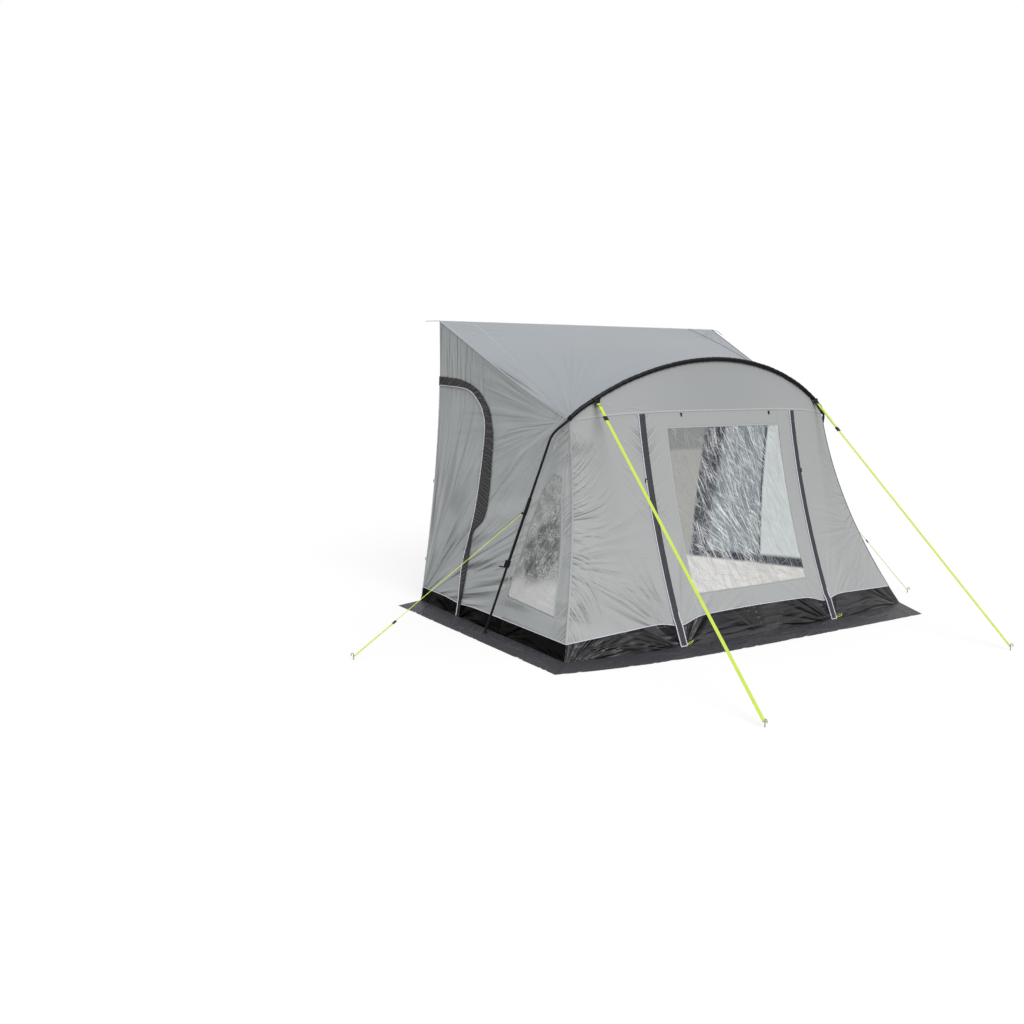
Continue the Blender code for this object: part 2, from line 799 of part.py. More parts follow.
def make_side(name, side):
    """A side wall: the wall round the door, the window panel, the mud wall, the flap and the door."""
    half = seam_gap / 2
    zip_half = zip_gap / 2
    wall_pairs = side_rows(side)
    wall = inset(side_cells(side, wall_pairs), bottom=half, left=zip_half, right=half)
    sheet("side_wall_" + name, "wall_cloth", wall, cloth)

    flap = [row[:2] for row in wall]
    flap = lifted(flap, lay_gap + flap_cloth)
    sheet("side_zip_flap_" + name, "flap_cloth", flap, flap_cloth)

    panel_pairs = window_panel_pairs()
    panel = side_cells(side, panel_pairs)
    hole_rows = (side_window_top_row_index, side_window_bottom_row_index)
    hole_columns = (1, 4)
    body = inset(panel, bottom=half, left=half, right=half)
    body[0] = panel[0]
    sheet("side_window_panel_" + name, "wall_cloth", body, cloth, (hole_rows, hole_columns))
    pane = inset(block(panel, hole_rows, hole_columns), seam_gap, seam_gap, seam_gap, seam_gap)
    sheet("side_window_" + name, "window_film", pane, window_film)

    foot_pairs = wall_pairs[-1] + panel_pairs[-1][1:]
    mud_pairs = [[(along, rise * part) for along, rise in foot_pairs] for part in mud_row_shares]
    mud = inset(side_cells(side, mud_pairs), top=half, left=zip_half, right=half)
    sheet("mud_wall_side_" + name, "black_cloth", mud, cloth)

    low_share = door_ground_gap / rail_height
    front = [door_top_shares[-1]] + list(door_front_shares)
    front[-1] = foot_pairs[0]
    front += [(foot_pairs[0][0], foot_pairs[0][1] * mud_row_shares[1]), (foot_pairs[0][0], low_share)]
    top = door_top_shares
    grid = []
    for along, rise in front:
        down = (top[-1][1] - rise) / (top[-1][1] - low_share)
        row = []
        for top_along, top_rise in top:
            across = top_along / top[-1][0]
            flat_along = lerp(top_along, across * front[-1][0], down)
            flat_along -= across * lerp(top[-1][0], front[-1][0], down)
            rear_rise = lerp(top[0][1], low_share, down)
            flat_rise = lerp(top_rise, low_share, down) - lerp(rear_rise, rise, across)
            row.append((flat_along + across * along, flat_rise + lerp(rear_rise, rise, across)))
        grid.append(row)
    door = inset(side_cells(side, grid), top=zip_half, right=zip_half)
    panel = sheet("side_door_" + name, "wall_cloth", door, cloth)
    set_origin(panel, Vector((side * base_half_width, 0, 0)) + centring)


def make_skirt(name, inner, outer):
    """A strip of film on the ground between two lines."""
    film = Vector((0, 0, skirt_film))
    middle = [lerp(a, b, skirt_middle_share) for a, b in zip(inner, outer)]
    grid = [[point + film for point in line] for line in (inner, middle, outer)]
    sheet("ground_skirt_" + name, "skirt_film", grid, skirt_film, upright=True)


def make_skirts():
    inner = []
    outer = []
    for share in front_columns(0):
        inner.append(front_point(share, 0) - Vector((0, seam_gap, 0)))
        bow = 1 - abs(share) ** base_bow_power
        end_width = skirt_corner_half_width if share < 0 else skirt_front_end_half_width
        end_depth = skirt_corner_depth if share < 0 else skirt_front_end_depth
        outer.append(Vector((share * end_width, -lerp(end_depth, front_reach, bow), 0)))
    make_skirt("front", inner, outer)

    inner = []
    outer = []
    for share in skirt_side_shares:
        inner.append(Vector((-base_half_width - seam_gap, -wall_depth * share, 0)))
        half_width = lerp(skirt_rear_half_width, skirt_corner_half_width, share) + seam_gap
        outer.append(Vector((-half_width, -lerp(skirt_rear_set_in, skirt_corner_depth, share), 0)))
    make_skirt("left", inner, outer)

    inner = []
    outer = []
    for share in skirt_side_shares:
        wall_side = base_half_width - cloth - skirt_tucked_gap
        depth = lerp(skirt_tucked_set_in, wall_depth - skirt_tucked_set_in, share)
        inner.append(Vector((wall_side, -depth, 0)))
        outer.append(Vector((wall_side - skirt_tucked_width, -depth, 0)))
    make_skirt("right", inner, outer)


# Frame pieces

def make_hoop():
    points = hoop_path()
    tangents = path_tangents(points)
    first = len(hoop_bend(-1))
    last = first + len(arch_shares) - 1
    lap = zip_columns[0] + 1
    joint_left = first + lap
    joint_right = last - lap

    stations = []
    for index in range(joint_left, joint_right + 1):
        stations.append((points[index], tangents[index], hoop_radius, hoop_bore))
    tube("hoop_centre", "steel", stations)

    for name, span, spigot in (
        ("hoop_left", range(joint_left + 1), joint_left + 1),
        ("hoop_right", range(len(points) - 1, joint_right - 1, -1), joint_right - 1),
    ):
        stations = []
        for index in span:
            stations.append((points[index], tangents[index], hoop_radius, hoop_bore))
        centre, tangent, radius, bore = stations.pop()
        inward = tangent if name == "hoop_left" else -tangent
        face = centre - inward * seam_gap
        stations.append((face, tangent, hoop_radius, spigot_bore))
        stations.append((face, tangent, spigot_radius, spigot_bore))
        stations.append((points[spigot], tangents[spigot], spigot_radius, spigot_bore))
        tube(name, "steel", stations)

    stations = []
    for index in range(first, last + 1):
        stations.append((points[index], tangents[index], sleeve_radius, hoop_radius + seam_gap))
    tube("arch_sleeve", "black_cloth", stations)


def make_leg(name, side):
    elbow, down, length = leg_axis(side)
    bore = hoop_radius + seam_gap
    stations = [(elbow + down * distance, down, leg_radius, bore) for distance in (leg_top, leg_bottom)]
    tube("leg_outer_" + name, "steel", stations)

    ground = skirt_film + seam_gap if side < 0 else 0
    pad_top = ground + foot_pad_height
    neck_end = length - inner_leg_end_gap
    stations = []
    for distance in (inner_leg_top, neck_end):
        stations.append((elbow + down * distance, down, hoop_radius, hoop_bore))
    inner = tube("leg_inner_" + name, "steel", stations)
    set_origin(inner, elbow + down * neck_end + centring)

    pad_centre = elbow + down * (length - pad_top)
    pad_low = Vector((pad_centre.x, pad_centre.y, ground))
    pad_high = Vector((pad_centre.x, pad_centre.y, pad_top))
    upright = Vector((0, 0, -1))
    neck = elbow + down * (neck_end + seam_gap)
    plug_radius = hoop_bore - seam_gap
    pad = rod("foot_" + name, "black_plastic", [
        (neck - down * foot_plug_length, down, plug_radius),
        (neck, down, plug_radius),
        (neck, down, foot_neck_radius),
        (neck + down * (inner_leg_end_gap * foot_neck_share), down, foot_neck_radius),
        (pad_high, upright, foot_pad_radius),
        (pad_low, upright, foot_pad_radius),
    ])
    set_origin(pad, elbow + down * neck_end + centring)

    big = teardrop(collar_radius, ear_radius, ear_reach, side)
    bore_loop = circle(leg_radius + seam_gap)
    eye = circle(eye_radius, ear_round_sides, side * ear_reach)
    small = circle(collar_radius - seam_gap)
    ear_low = collar_length - ear_height
    stacked(
        "leg_collar_" + name, "black_plastic",
        [(small, 0, ear_low), (big, ear_low, collar_length), (eye, ear_low, collar_length),
         (bore_loop, 0, collar_length)],
        [(0, [small, bore_loop]), (ear_low, [big, small, eye]), (collar_length, [big, bore_loop, eye])],
        leg_frame(side, leg_top),
    )

    outline = teardrop(clamp_radius, clamp_lug_radius, clamp_pin_reach, side)
    pin_hole = circle(clamp_pin_radius + seam_gap, ear_round_sides, side * clamp_pin_reach)
    prism("clamp_body_" + name, "black_plastic", outline, [circle(leg_radius + seam_gap), pin_hole],
          clamp_height, leg_frame(side, clamp_top))

    pin = circle(clamp_pin_radius, ear_round_sides)
    arm = teardrop(lever_head_radius, lever_tip_radius, lever_length, side)
    low = clamp_height + seam_gap
    frame = leg_frame(side, clamp_top) @ Matrix.Translation((side * clamp_pin_reach, 0, 0))
    stacked(
        "clamp_lever_" + name, "black_plastic",
        [(arm, low, low + lever_height), (pin, 0, low)],
        [(low + lever_height, [arm]), (low, [arm, pin]), (0, [pin])],
        frame,
    )


# Straps, guys and pegs

def make_peg(name, place, away):
    """A hooked peg whose hook points away from the pull."""
    base = Vector((place[0], place[1], 0))
    upright = Vector((0, 0, 1))
    top = base + upright * peg_height
    centre = top + away * peg_hook_radius
    stations = [(base, upright, peg_radius)]
    for step in range(peg_turn_steps + 1):
        turn = math.pi * step / peg_turn_steps
        point = centre + (upright * math.sin(turn) - away * math.cos(turn)) * peg_hook_radius
        tangent = upright * math.cos(turn) + away * math.sin(turn)
        stations.append((point, tangent, peg_radius))
    end = stations[-1][0]
    stations.append((end - upright * peg_tip_length, -upright, peg_radius))
    axis = away.cross(upright)
    points = []
    faces = []
    for place_on, tangent, radius in stations:
        other = axis.cross(tangent)
        for step in range(peg_sides):
            turn = 2 * math.pi * (step + 1 / 2) / peg_sides
            offset = axis * math.cos(turn) + other * math.sin(turn)
            points.append(place_on + offset * radius + centring)
    for step in range(len(stations) - 1):
        faces += bridge(step * peg_sides, (step + 1) * peg_sides, peg_sides)
    faces.append(tuple(range(peg_sides)))
    faces.append(tuple(range(len(points) - peg_sides, len(points))))
    add_mesh(name, "steel", points, faces)


def flat_of(direction):
    return Vector((direction.x, direction.y, 0)).normalized()


def make_strap(name, share, peg, buckle_share):
    start = arch_point(share)
    end = Vector((peg[0], peg[1], strap_tie_height))
    along = (end - start).normalized()
    across = along.cross(Vector((0, 0, 1))).normalized()
    other = along.cross(across)
    corners = []
    for turn in (-1, 0, 1):
        for face in (-1, 1):
            corners.append(across * (turn * strap_width / 2) + other * (face * strap_thickness / 2))
    top = largest_reach(along, arch_tangent(share), corners, sleeve_radius + seam_gap)
    foot = largest_reach(-along, Vector((0, 0, 1)), corners, peg_radius + seam_gap)
    frame = Matrix((across, other, along)).transposed().to_4x4()
    frame.translation = start + along * top + centring
    length = (end - start).length - top - foot
    band = rounded_bar(strap_width, strap_thickness, strap_edge_radius, 1)
    prism("storm_strap_" + name, "webbing", band, [], length, frame)

    slot = rounded_bar(strap_width + 2 * seam_gap, strap_thickness + 2 * seam_gap, strap_edge_radius, 1)
    body = rounded_bar(buckle_width, buckle_depth, buckle_corner_radius)
    place = frame @ Matrix.Translation((0, 0, length * buckle_share))
    prism("strap_adjuster_" + name, "black_plastic", body, [slot], buckle_length, place)
    make_peg("strap_peg_" + name, peg, flat_of(along))


def make_guy(name, side, peg, runner_from_peg):
    """A line from the collar's eye through the runner, round the peg and back to the runner."""
    elbow, down, length = leg_axis(side)
    across, other = cross_axes(down)
    eye = elbow + down * (leg_top + collar_length - ear_height / 2) + across * (side * ear_reach)
    peg_point = Vector((peg[0], peg[1], guy_tie_height))
    level = flat_of(peg_point - eye)
    turn_radius = peg_radius + seam_gap + guy_radius
    aside = level.cross(Vector((0, 0, 1)))
    landing = peg_point + aside * turn_radius
    along = (landing - eye).normalized()
    lean = along.dot(down)
    tilt = math.sqrt(1 - lean * lean)
    start = eye + along * ((ear_height / 2 + seam_gap + guy_radius * tilt) / lean)
    points = [lerp(start, landing, step / guy_steps) for step in range(guy_steps)]
    for step in range(guy_turn_steps + 1):
        turn = math.pi * step / guy_turn_steps
        points.append(peg_point + (aside * math.cos(turn) + level * math.sin(turn)) * turn_radius)
    back = peg_point - aside * turn_radius
    spread = 2 * turn_radius
    runner_foot = landing - along * runner_from_peg
    stop = back - along * (runner_from_peg - seam_gap)
    for step in range(1, guy_return_steps + 1):
        points.append(lerp(back, stop, step / guy_return_steps))
    add_cord("side_guy_" + name, points)

    cross = (aside - along * aside.dot(along)).normalized()
    upward = along.cross(cross)
    frame = Matrix((cross, upward, along)).transposed().to_4x4()
    frame.translation = runner_foot - along * runner_length - cross * turn_radius + centring
    wall = guy_radius + seam_gap + runner_wall
    body = rounded_bar(spread + 2 * wall, 2 * wall, wall * runner_corner_share, runner_corner_steps)
    bore = circle(guy_radius + 2 * seam_gap, runner_bore_sides, turn_radius)
    rest = circle(guy_radius + seam_gap, runner_bore_sides, -turn_radius)
    prism("guy_runner_" + name, "black_plastic", body, [bore, rest], runner_length, frame)
    make_peg("guy_peg_" + name, peg, level)


def add_cord(name, points):
    line = bpy.data.curves.new(name, "CURVE")
    line.dimensions = "3D"
    line.bevel_depth = guy_radius
    line.bevel_resolution = 2
    line.render_resolution_u = 0
    line.use_fill_caps = True
    spline = line.splines.new("POLY")
    spline.points.add(len(points) - 1)
    for target, point in zip(spline.points, points):
        target.co = (*(point + centring), 1)
    item = bpy.data.objects.new(name, line)
    bpy.context.scene.collection.objects.link(item)
    paint(item, "guy_cord")


# Zip sliders

def slider_frame(low, high, before, after):
    """Axes of a slider on the room side of a zip: Y runs up the zip and Z into the room.

    The zip runs from low to high; before and after lie on the cloth at either side of its low end.
    """
    up = (high - low).normalized()
    across = after - before
    across = (across - up * across.dot(up)).normalized()
    inward = across.cross(up)
    if inward.dot(outward(low)) > 0:
        across = -across
        inward = -inward
    place = lerp(low, high, slider_start_share) - outward(low) * cloth
    frame = Matrix((across, up, inward)).transposed().to_4x4()
    frame.translation = place + inward * slider_clearance + centring
    return frame


def make_slider(name, frame):
    outline = teardrop(slider_head_radius, slider_tail_radius, slider_length, 1)
    turned = [(-y, x) for x, y in outline]
    prism(name, "steel", turned, [], slider_height, frame)


def make_sliders():
    high = front_row(row_shares[front_slider_row_index - 1])
    low = front_row(row_shares[front_slider_row_index])
    for name, column in (("left", zip_columns[0]), ("right", zip_columns[1])):
        frame = slider_frame(low[column], high[column], low[column - 1], low[column + 1])
        make_slider("front_zip_slider_" + name, frame)
    for name, side in sides:
        high = side_point(side, *door_front_shares[side_slider_row_index - 1])
        low_pair = door_front_shares[side_slider_row_index]
        after_pair = flap_front_shares[side_slider_row_index]
        low = side_point(side, *low_pair)
        after = side_point(side, *after_pair)
        make_slider("side_zip_slider_" + name, slider_frame(low, high, low, after))


clear_scene()
make_roof()
make_rail_bead()
make_gable()
make_front()
for side_name, side_sign in sides:
    make_side(side_name, side_sign)
make_skirts()
make_hoop()
for side_name, side_sign in sides:
    make_leg(side_name, side_sign)
make_strap("left", left_strap_share, left_strap_peg, left_buckle_share)
make_strap("right", right_strap_share, right_strap_peg, right_buckle_share)
make_guy("left", -1, left_guy_peg, left_runner_from_peg)
make_guy("right", 1, right_guy_peg, right_runner_from_peg)
make_sliders()
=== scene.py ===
import math

import bpy
import numpy as np
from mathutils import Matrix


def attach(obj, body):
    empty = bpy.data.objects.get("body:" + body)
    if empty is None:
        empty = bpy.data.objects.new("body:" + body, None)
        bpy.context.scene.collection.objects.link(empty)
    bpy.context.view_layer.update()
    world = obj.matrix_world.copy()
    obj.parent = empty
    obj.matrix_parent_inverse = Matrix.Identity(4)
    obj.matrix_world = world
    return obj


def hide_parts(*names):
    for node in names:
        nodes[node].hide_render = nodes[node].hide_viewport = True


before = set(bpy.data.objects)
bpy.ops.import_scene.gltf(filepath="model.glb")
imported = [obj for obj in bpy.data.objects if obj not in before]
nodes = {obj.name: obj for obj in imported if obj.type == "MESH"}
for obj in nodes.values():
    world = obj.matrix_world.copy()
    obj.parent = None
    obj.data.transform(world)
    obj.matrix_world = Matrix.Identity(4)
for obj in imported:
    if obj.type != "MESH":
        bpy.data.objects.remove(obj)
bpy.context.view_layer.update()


# The view, the floor and the light. The photograph was taken from the left of the front, from a
# little above eye level, under even daylight that is a little stronger in front.

bpy.ops.object.camera_add(
    location=(-5.4007, -6.3555, 1.9439),
    rotation=(math.radians(90 - 7.8074), 0, math.radians(-31.2292)),
)
camera = bpy.context.object
camera.data.lens = 34.63
camera.data.sensor_width = 36
camera.data.clip_end = 300
bpy.context.scene.camera = camera
bpy.context.scene.view_settings.view_transform = "Standard"


class Tone:
    """A socket of a finish. Sums of tones add their own nodes."""

    def __init__(self, socket):
        self.socket = socket

    def node(self, kind, settings, values, out=0):
        tree = self.socket.id_data
        made = tree.nodes.new("ShaderNode" + kind)
        for key, value in settings.items():
            setattr(made, key, value)
        for key, value in values.items():
            if isinstance(value, Tone):
                tree.links.new(value.socket, made.inputs[key])
            else:
                made.inputs[key].default_value = value
        return Tone(made.outputs[out])

    def reckon(self, operation, *operands):
        return self.node("Math", {"operation": operation}, dict(enumerate(operands)))

    def __add__(self, other):
        return self.reckon("ADD", self, other)

    __radd__ = __add__

    def __sub__(self, other):
        return self.reckon("SUBTRACT", self, other)

    def __rsub__(self, other):
        return self.reckon("SUBTRACT", other, self)

    def __mul__(self, other):
        return self.reckon("MULTIPLY", self, other)

    __rmul__ = __mul__

    def __truediv__(self, other):
        return self.reckon("DIVIDE", self, other)

    def wave(self, length):
        """A sine along the tone, from -1 to 1, that repeats after a length in metres."""
        return self.reckon("SINE", self * (2 * math.pi / length))

    def most(self, other):
        return self.reckon("MAXIMUM", self, other)

    def least(self, other):
        return self.reckon("MINIMUM", self, other)

    def size(self):
        return self.reckon("ABSOLUTE", self)

    def root(self):
        return self.reckon("SQRT", self)

    def bearing(self, other):
        """The turn, in radians, of a point that lies this far up and the other tone along."""
        return self.reckon("ARCTAN2", self, other)

    def rise(self, low, high):
        """Goes smoothly from 0 at low to 1 at high, either of which may be the greater."""
        if low > high:
            return 1 - self.rise(high, low)
        values = {"Value": self, "From Min": low, "From Max": high}
        return self.node("MapRange", {"interpolation_type": "SMOOTHSTEP"}, values)

    def part(self, axis):
        return self.node("SeparateXYZ", {}, {0: self}, out="xyz".index(axis))

    def place(self, y, z=0.0):
        """A place from this tone and two others."""
        return self.node("CombineXYZ", {}, {0: self, 1: y, 2: z})

    def ridge(self, half):
        """Sharp crests where a cloud passes its middle value."""
        return (self - 0.5).size().rise(half, 0.0)

    def placed(self, turn=0.0, size=(1, 1, 1), shift=(0, 0, 0)):
        """The place turned and measured in pieces of a size, so that a pattern is drawn out."""
        values = {"Vector": self, "Rotation": (0, 0, turn), "Scale": size, "Location": shift}
        return self.node("Mapping", {"vector_type": "TEXTURE"}, values)

    def node_on(self, kind, settings, **values):
        """Another pattern on this place."""
        return self.node(kind, settings, dict(values, Vector=self))

    def cloud(self, scale, detail=2.0, rough=0.5):
        values = {"Vector": self, "Scale": scale, "Detail": detail, "Roughness": rough}
        return self.node("TexNoise", {}, values)

    def mixed(self, low, high):
        """The first colour where the tone is 0, the second where it is 1."""
        colours = [value if isinstance(value, Tone) else (*value, 1) for value in (low, high)]
        return self.node("Mix", {"data_type": "RGBA"}, {0: self, 6: colours[0], 7: colours[1]},
                         out=2)

    def relief(self, depth, strength=1.0, over=None):
        """A bump as high as depth, in metres, times the tone, and on top of another bump if any."""
        values = {"Height": self, "Distance": depth, "Strength": strength}
        if over:
            values["Normal"] = over
        return self.node("Bump", {}, values)


class Finish:
    """A material: constants go on the shader's own sockets, and patterns are linked to them."""

    def __init__(self, name, **constants):
        self.material = bpy.data.materials.new(name)
        self.material.use_nodes = True
        self.tree = self.material.node_tree
        self.shader = self.tree.nodes["Principled BSDF"]
        self.set(**constants)
        places = self.tree.nodes.new("ShaderNodeTexCoord").outputs
        self.object, self.uv = Tone(places["Object"]), Tone(places["UV"])

    def set(self, **values):
        for key, value in values.items():
            socket = self.shader.inputs[key.replace("_", " ")]
            if isinstance(value, Tone):
                self.tree.links.new(value.socket, socket)
            elif isinstance(value, tuple):
                socket.default_value = (*value, 1)
            else:
                socket.default_value = value
        return self


def dress(piece, finish):
    piece.data.materials.clear()
    piece.data.materials.append(finish.material)


world = bpy.data.worlds.new("studio")
bpy.context.scene.world = world
world.use_nodes = True
backdrop = world.node_tree.nodes["Background"]
rays = world.node_tree.nodes.new("ShaderNodeLightPath").outputs
shown = Tone(rays["Is Camera Ray"]).most(Tone(rays["Is Transmission Ray"]))
height = Tone(world.node_tree.nodes.new("ShaderNodeTexCoord").outputs["Generated"]).part("z")
sky = height.rise(-0.30, 0.90) * 0.42 + 0.46
strength = sky + (1 - sky) * shown
backdrop.inputs["Color"].default_value = (1.0, 1.0, 1.0, 1)
world.node_tree.links.new(strength.socket, backdrop.inputs["Strength"])

bpy.ops.object.light_add(type="SUN", rotation=(math.radians(54), 0, math.radians(-8)))
daylight = bpy.context.object
daylight.name = "daylight"
daylight.data.energy = 1.95
daylight.data.angle = math.radians(38)

bpy.ops.object.select_all(action="DESELECT")
bpy.ops.mesh.primitive_circle_add(vertices=96, radius=60, fill_type="NGON", location=(0, 0, -0.001))
floor = bpy.context.object
floor.name = "floor"
paper = Finish("paper", Roughness=0.9)
path = Tone(paper.tree.nodes.new("ShaderNodeLightPath").outputs["Is Camera Ray"])
paper.set(Base_Color=path.mixed((0.30, 0.30, 0.295), (0.90, 0.90, 0.90)))
glow = paper.tree.nodes.new("ShaderNodeEmission")
cover = paper.tree.nodes.new("ShaderNodeMixShader")
paper.tree.links.new((path * 0.7).socket, cover.inputs[0])
paper.tree.links.new(paper.shader.outputs[0], cover.inputs[1])
paper.tree.links.new(glow.outputs[0], cover.inputs[2])
paper.tree.links.new(cover.outputs[0], paper.tree.nodes["Material Output"].inputs["Surface"])
dress(floor, paper)


# Storm straps. Each is one length of bright 25 mm polyester webbing from a patch on the sleeve,
# through a ladder buckle, to a peg in front; its tail hangs back from the buckle.

def unit(vectors):
    return vectors / np.maximum(np.linalg.norm(vectors, axis=-1, keepdims=True), 1e-12)


def run_of(path):
    steps = np.linalg.norm(np.diff(path, axis=0), axis=1)
    return np.concatenate(([0], np.cumsum(steps)))


def sewn_mesh(name, points, quads, quad_uvs, caps=()):
    mesh = bpy.data.meshes.new(name)
    mesh.from_pydata(points.tolist(), [], quads.tolist() + [tuple(cap) for cap in caps])
    uvs = np.zeros((len(mesh.loops), 2))
    uvs[: len(quads) * 4] = quad_uvs.reshape(-1, 2)
    mesh.uv_layers.new(name="UVMap").data.foreach_set("uv", uvs.ravel())
    mesh.shade_smooth()
    mesh.set_sharp_from_angle(angle=math.radians(50))
    piece = bpy.data.objects.new(name, mesh)
    bpy.context.scene.collection.objects.link(piece)
    return piece


def thickened(piece, thickness):
    bpy.ops.object.select_all(action="DESELECT")
    bpy.context.view_layer.objects.active = piece
    piece.select_set(True)
    cloth_depth = piece.modifiers.new("thickness", "SOLIDIFY")
    cloth_depth.thickness = thickness
    cloth_depth.offset = -1
    bpy.ops.object.modifier_apply(modifier="thickness")


def fitted(piece, finish, body):
    """Gives a piece its finish and its place on a body."""
    dress(piece, finish)
    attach(piece, body)
    return piece


def drawn(name, path, outline, facing, finish, body, hollow=0):
    """A length of cord, webbing or welt: an outline drawn along a path.

    The outline's second axis turns to facing, and a hollow one has walls of that thickness.
    """
    path = np.asarray(path, float)
    outline = np.asarray(outline, float)
    tangent = unit(np.gradient(path, axis=0))
    facing = np.broadcast_to(np.asarray(facing, float), path.shape)
    across = unit(np.cross(facing, tangent))
    upward = np.cross(tangent, across)
    if outline.ndim == 2:
        outline = np.broadcast_to(outline, (len(path),) + outline.shape)
    points = path[:, None] + across[:, None] * outline[:, :, :1]
    points = points + upward[:, None] * outline[:, :, 1:]
    rows, count = points.shape[:2]
    index = np.arange(rows * count).reshape(rows, count)
    after = np.roll(index, -1, axis=1)
    quads = np.stack((index[:-1], after[:-1], after[1:], index[1:]), -1).reshape(-1, 4)
    around = run_of(np.vstack((outline[0], outline[0][:1])))
    u, v = np.meshgrid(around, run_of(path))
    corners = ((slice(None, -1), slice(None, -1)), (slice(None, -1), slice(1, None)),
               (slice(1, None), slice(1, None)), (slice(1, None), slice(None, -1)))
    uvs = np.stack([np.stack((u[corner], v[corner]), -1) for corner in corners], 2)
    uvs = uvs.reshape(-1, 4, 2)
    caps = () if hollow else (index[0][::-1], index[-1])
    piece = sewn_mesh(name, points.reshape(-1, 3), quads, uvs, caps)
    if hollow:
        thickened(piece, hollow)
    return fitted(piece, finish, body)


def round_outline(radius, count=10):
    turn = np.arange(count) * 2 * math.pi / count
    return np.stack((np.cos(turn), np.sin(turn)), -1) * radius


def flat_outline(width, thickness):
    """Webbing or tape across, with its edges rounded over."""
    w, t = width / 2, thickness / 2
    half = [(w - t, -t), (w - 0.3 * t, -0.7 * t), (w, 0), (w - 0.3 * t, 0.7 * t), (w - t, t)]
    middle = [(w * 0.4, t), (0, t), (-w * 0.4, t)]
    other = [(-x, -y) for x, y in half]
    under = [(-w * 0.4, -t), (0, -t), (w * 0.4, -t)]
    return np.array(half + middle + other + under)


def toned(colour, share, more=0.0):
    """A darker or lighter kind of a colour."""
    return tuple(min(1, channel * share + more) for channel in colour)


def webbing_finish(name, colour, pitch):
    """Coarse woven ribbon: thick weft ribs across its width."""
    made = Finish(name, Sheen_Weight=0.04, Specular_IOR_Level=0.15)
    u, v = made.uv.part("x"), made.uv.part("y")
    ribs = v.wave(pitch) * 0.5 + 0.5
    twill = ((u + v).wave(pitch * 2.1)) * 0.5 + 0.5
    wear = made.object.cloud(9, 4, 0.6)
    tone = ribs * 0.35 + wear * 0.5 + twill * 0.15
    made.set(Base_Color=tone.mixed(toned(colour, 0.72), toned(colour, 1.12)),
             Roughness=wear * 0.2 + 0.62)
    return made.set(Normal=(ribs * 0.7 + twill * 0.3).relief(0.0004, 0.5))


def moulded_finish(name, colour, roughness):
    """Moulded plastic with a fine spark-eroded grain and rubbed, paler edges."""
    made = Finish(name, Specular_IOR_Level=0.25)
    grain = made.object.cloud(900, 2, 0.6)
    scuff = made.object.cloud(60, 5, 0.7).rise(0.55, 0.8)
    made.set(Base_Color=scuff.mixed(colour, toned(colour, 1, 0.02)),
             Roughness=scuff * 0.2 + roughness)
    return made.set(Normal=grain.relief(0.0002, 0.25))


def plated_finish(name, colour, roughness):
    """Zinc-plated wire with a brushed, slightly spotted surface."""
    made = Finish(name, Metallic=1.0)
    spots = made.object.cloud(140, 4, 0.65)
    made.set(Base_Color=spots.rise(0.3, 0.8).mixed(toned(colour, 0.72), colour))
    made.set(Roughness=spots * 0.25 + roughness)
    return made.set(Normal=made.object.cloud(420, 3).relief(0.0002, 0.3))


lime_webbing = webbing_finish("lime_webbing", (0.54, 0.70, 0.10), 0.0016)
black_webbing = webbing_finish("black_webbing", (0.008, 0.008, 0.010), 0.0016)
black_plastic = moulded_finish("black_plastic", (0.006, 0.006, 0.0065), 0.38)
peg_steel = plated_finish("peg_steel", (0.62, 0.63, 0.64), 0.25)

strap_width, strap_thickness, tail_thickness = 0.025, 0.0016, 0.0015
strap_routes = {
    "left": ((-1.06949, -0.41559, 1.77261), (-1.43855, -2.55075, 0.02706),
             (0.10685, 0.61817, -0.77874)),
    "right": ((1.25867, -0.4056, 1.74425), (1.22287, -2.32967, 0.02742),
              (0.01238, 0.6656, -0.7462)),
}
buckle_shares = {"left": 0.066, "right": 0.130}
for side, route in strap_routes.items():
    start, end, under = np.array(route)
    ahead = unit(end - start)
    length = float(np.linalg.norm(end - start))
    line = start + np.linspace(0, 1, 41)[:, None] * (end - start)
    strap = drawn("strap_" + side, line, flat_outline(strap_width, strap_thickness), -under,
                  lime_webbing, "tent")
    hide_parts("storm_strap_" + side)

    spread = np.linspace(0, 1, 40)
    lift = 0.0030 + 0.0030 * np.sin(spread * math.pi) + 0.0012 * np.sin(spread * 21)
    along = 0.035 + spread * (buckle_shares[side] * length - 0.037)
    tail_line = start + ahead * along[:, None] - under * lift[:, None]
    tail = drawn("strap_tail_" + side, tail_line, flat_outline(strap_width, tail_thickness), -under,
                 lime_webbing, "tent")
    dress(nodes["strap_adjuster_" + side], black_plastic)
    dress(nodes["strap_peg_" + side], peg_steel)


# Side guys. Each is a thin bright braided cord from the eye of the leg's collar, down through a
# two-hole runner and round a peg; a heat-sealed knot stops its end under the runner.

def braided_finish(name, colour):
    """Round braid: strands cross at an angle round the cord."""
    made = Finish(name, Sheen_Weight=0.2, Specular_IOR_Level=0.3)
    u, v = made.uv.part("x"), made.uv.part("y")
    left = (u * 1.5 + v).wave(0.0042)
    right = (u * 1.5 - v).wave(0.0042)
    strands = left.most(right) * 0.5 + 0.5
    made.set(Base_Color=strands.mixed(toned(colour, 0.6), colour), Roughness=0.72)
    return made.set(Normal=strands.relief(0.0004, 0.6))


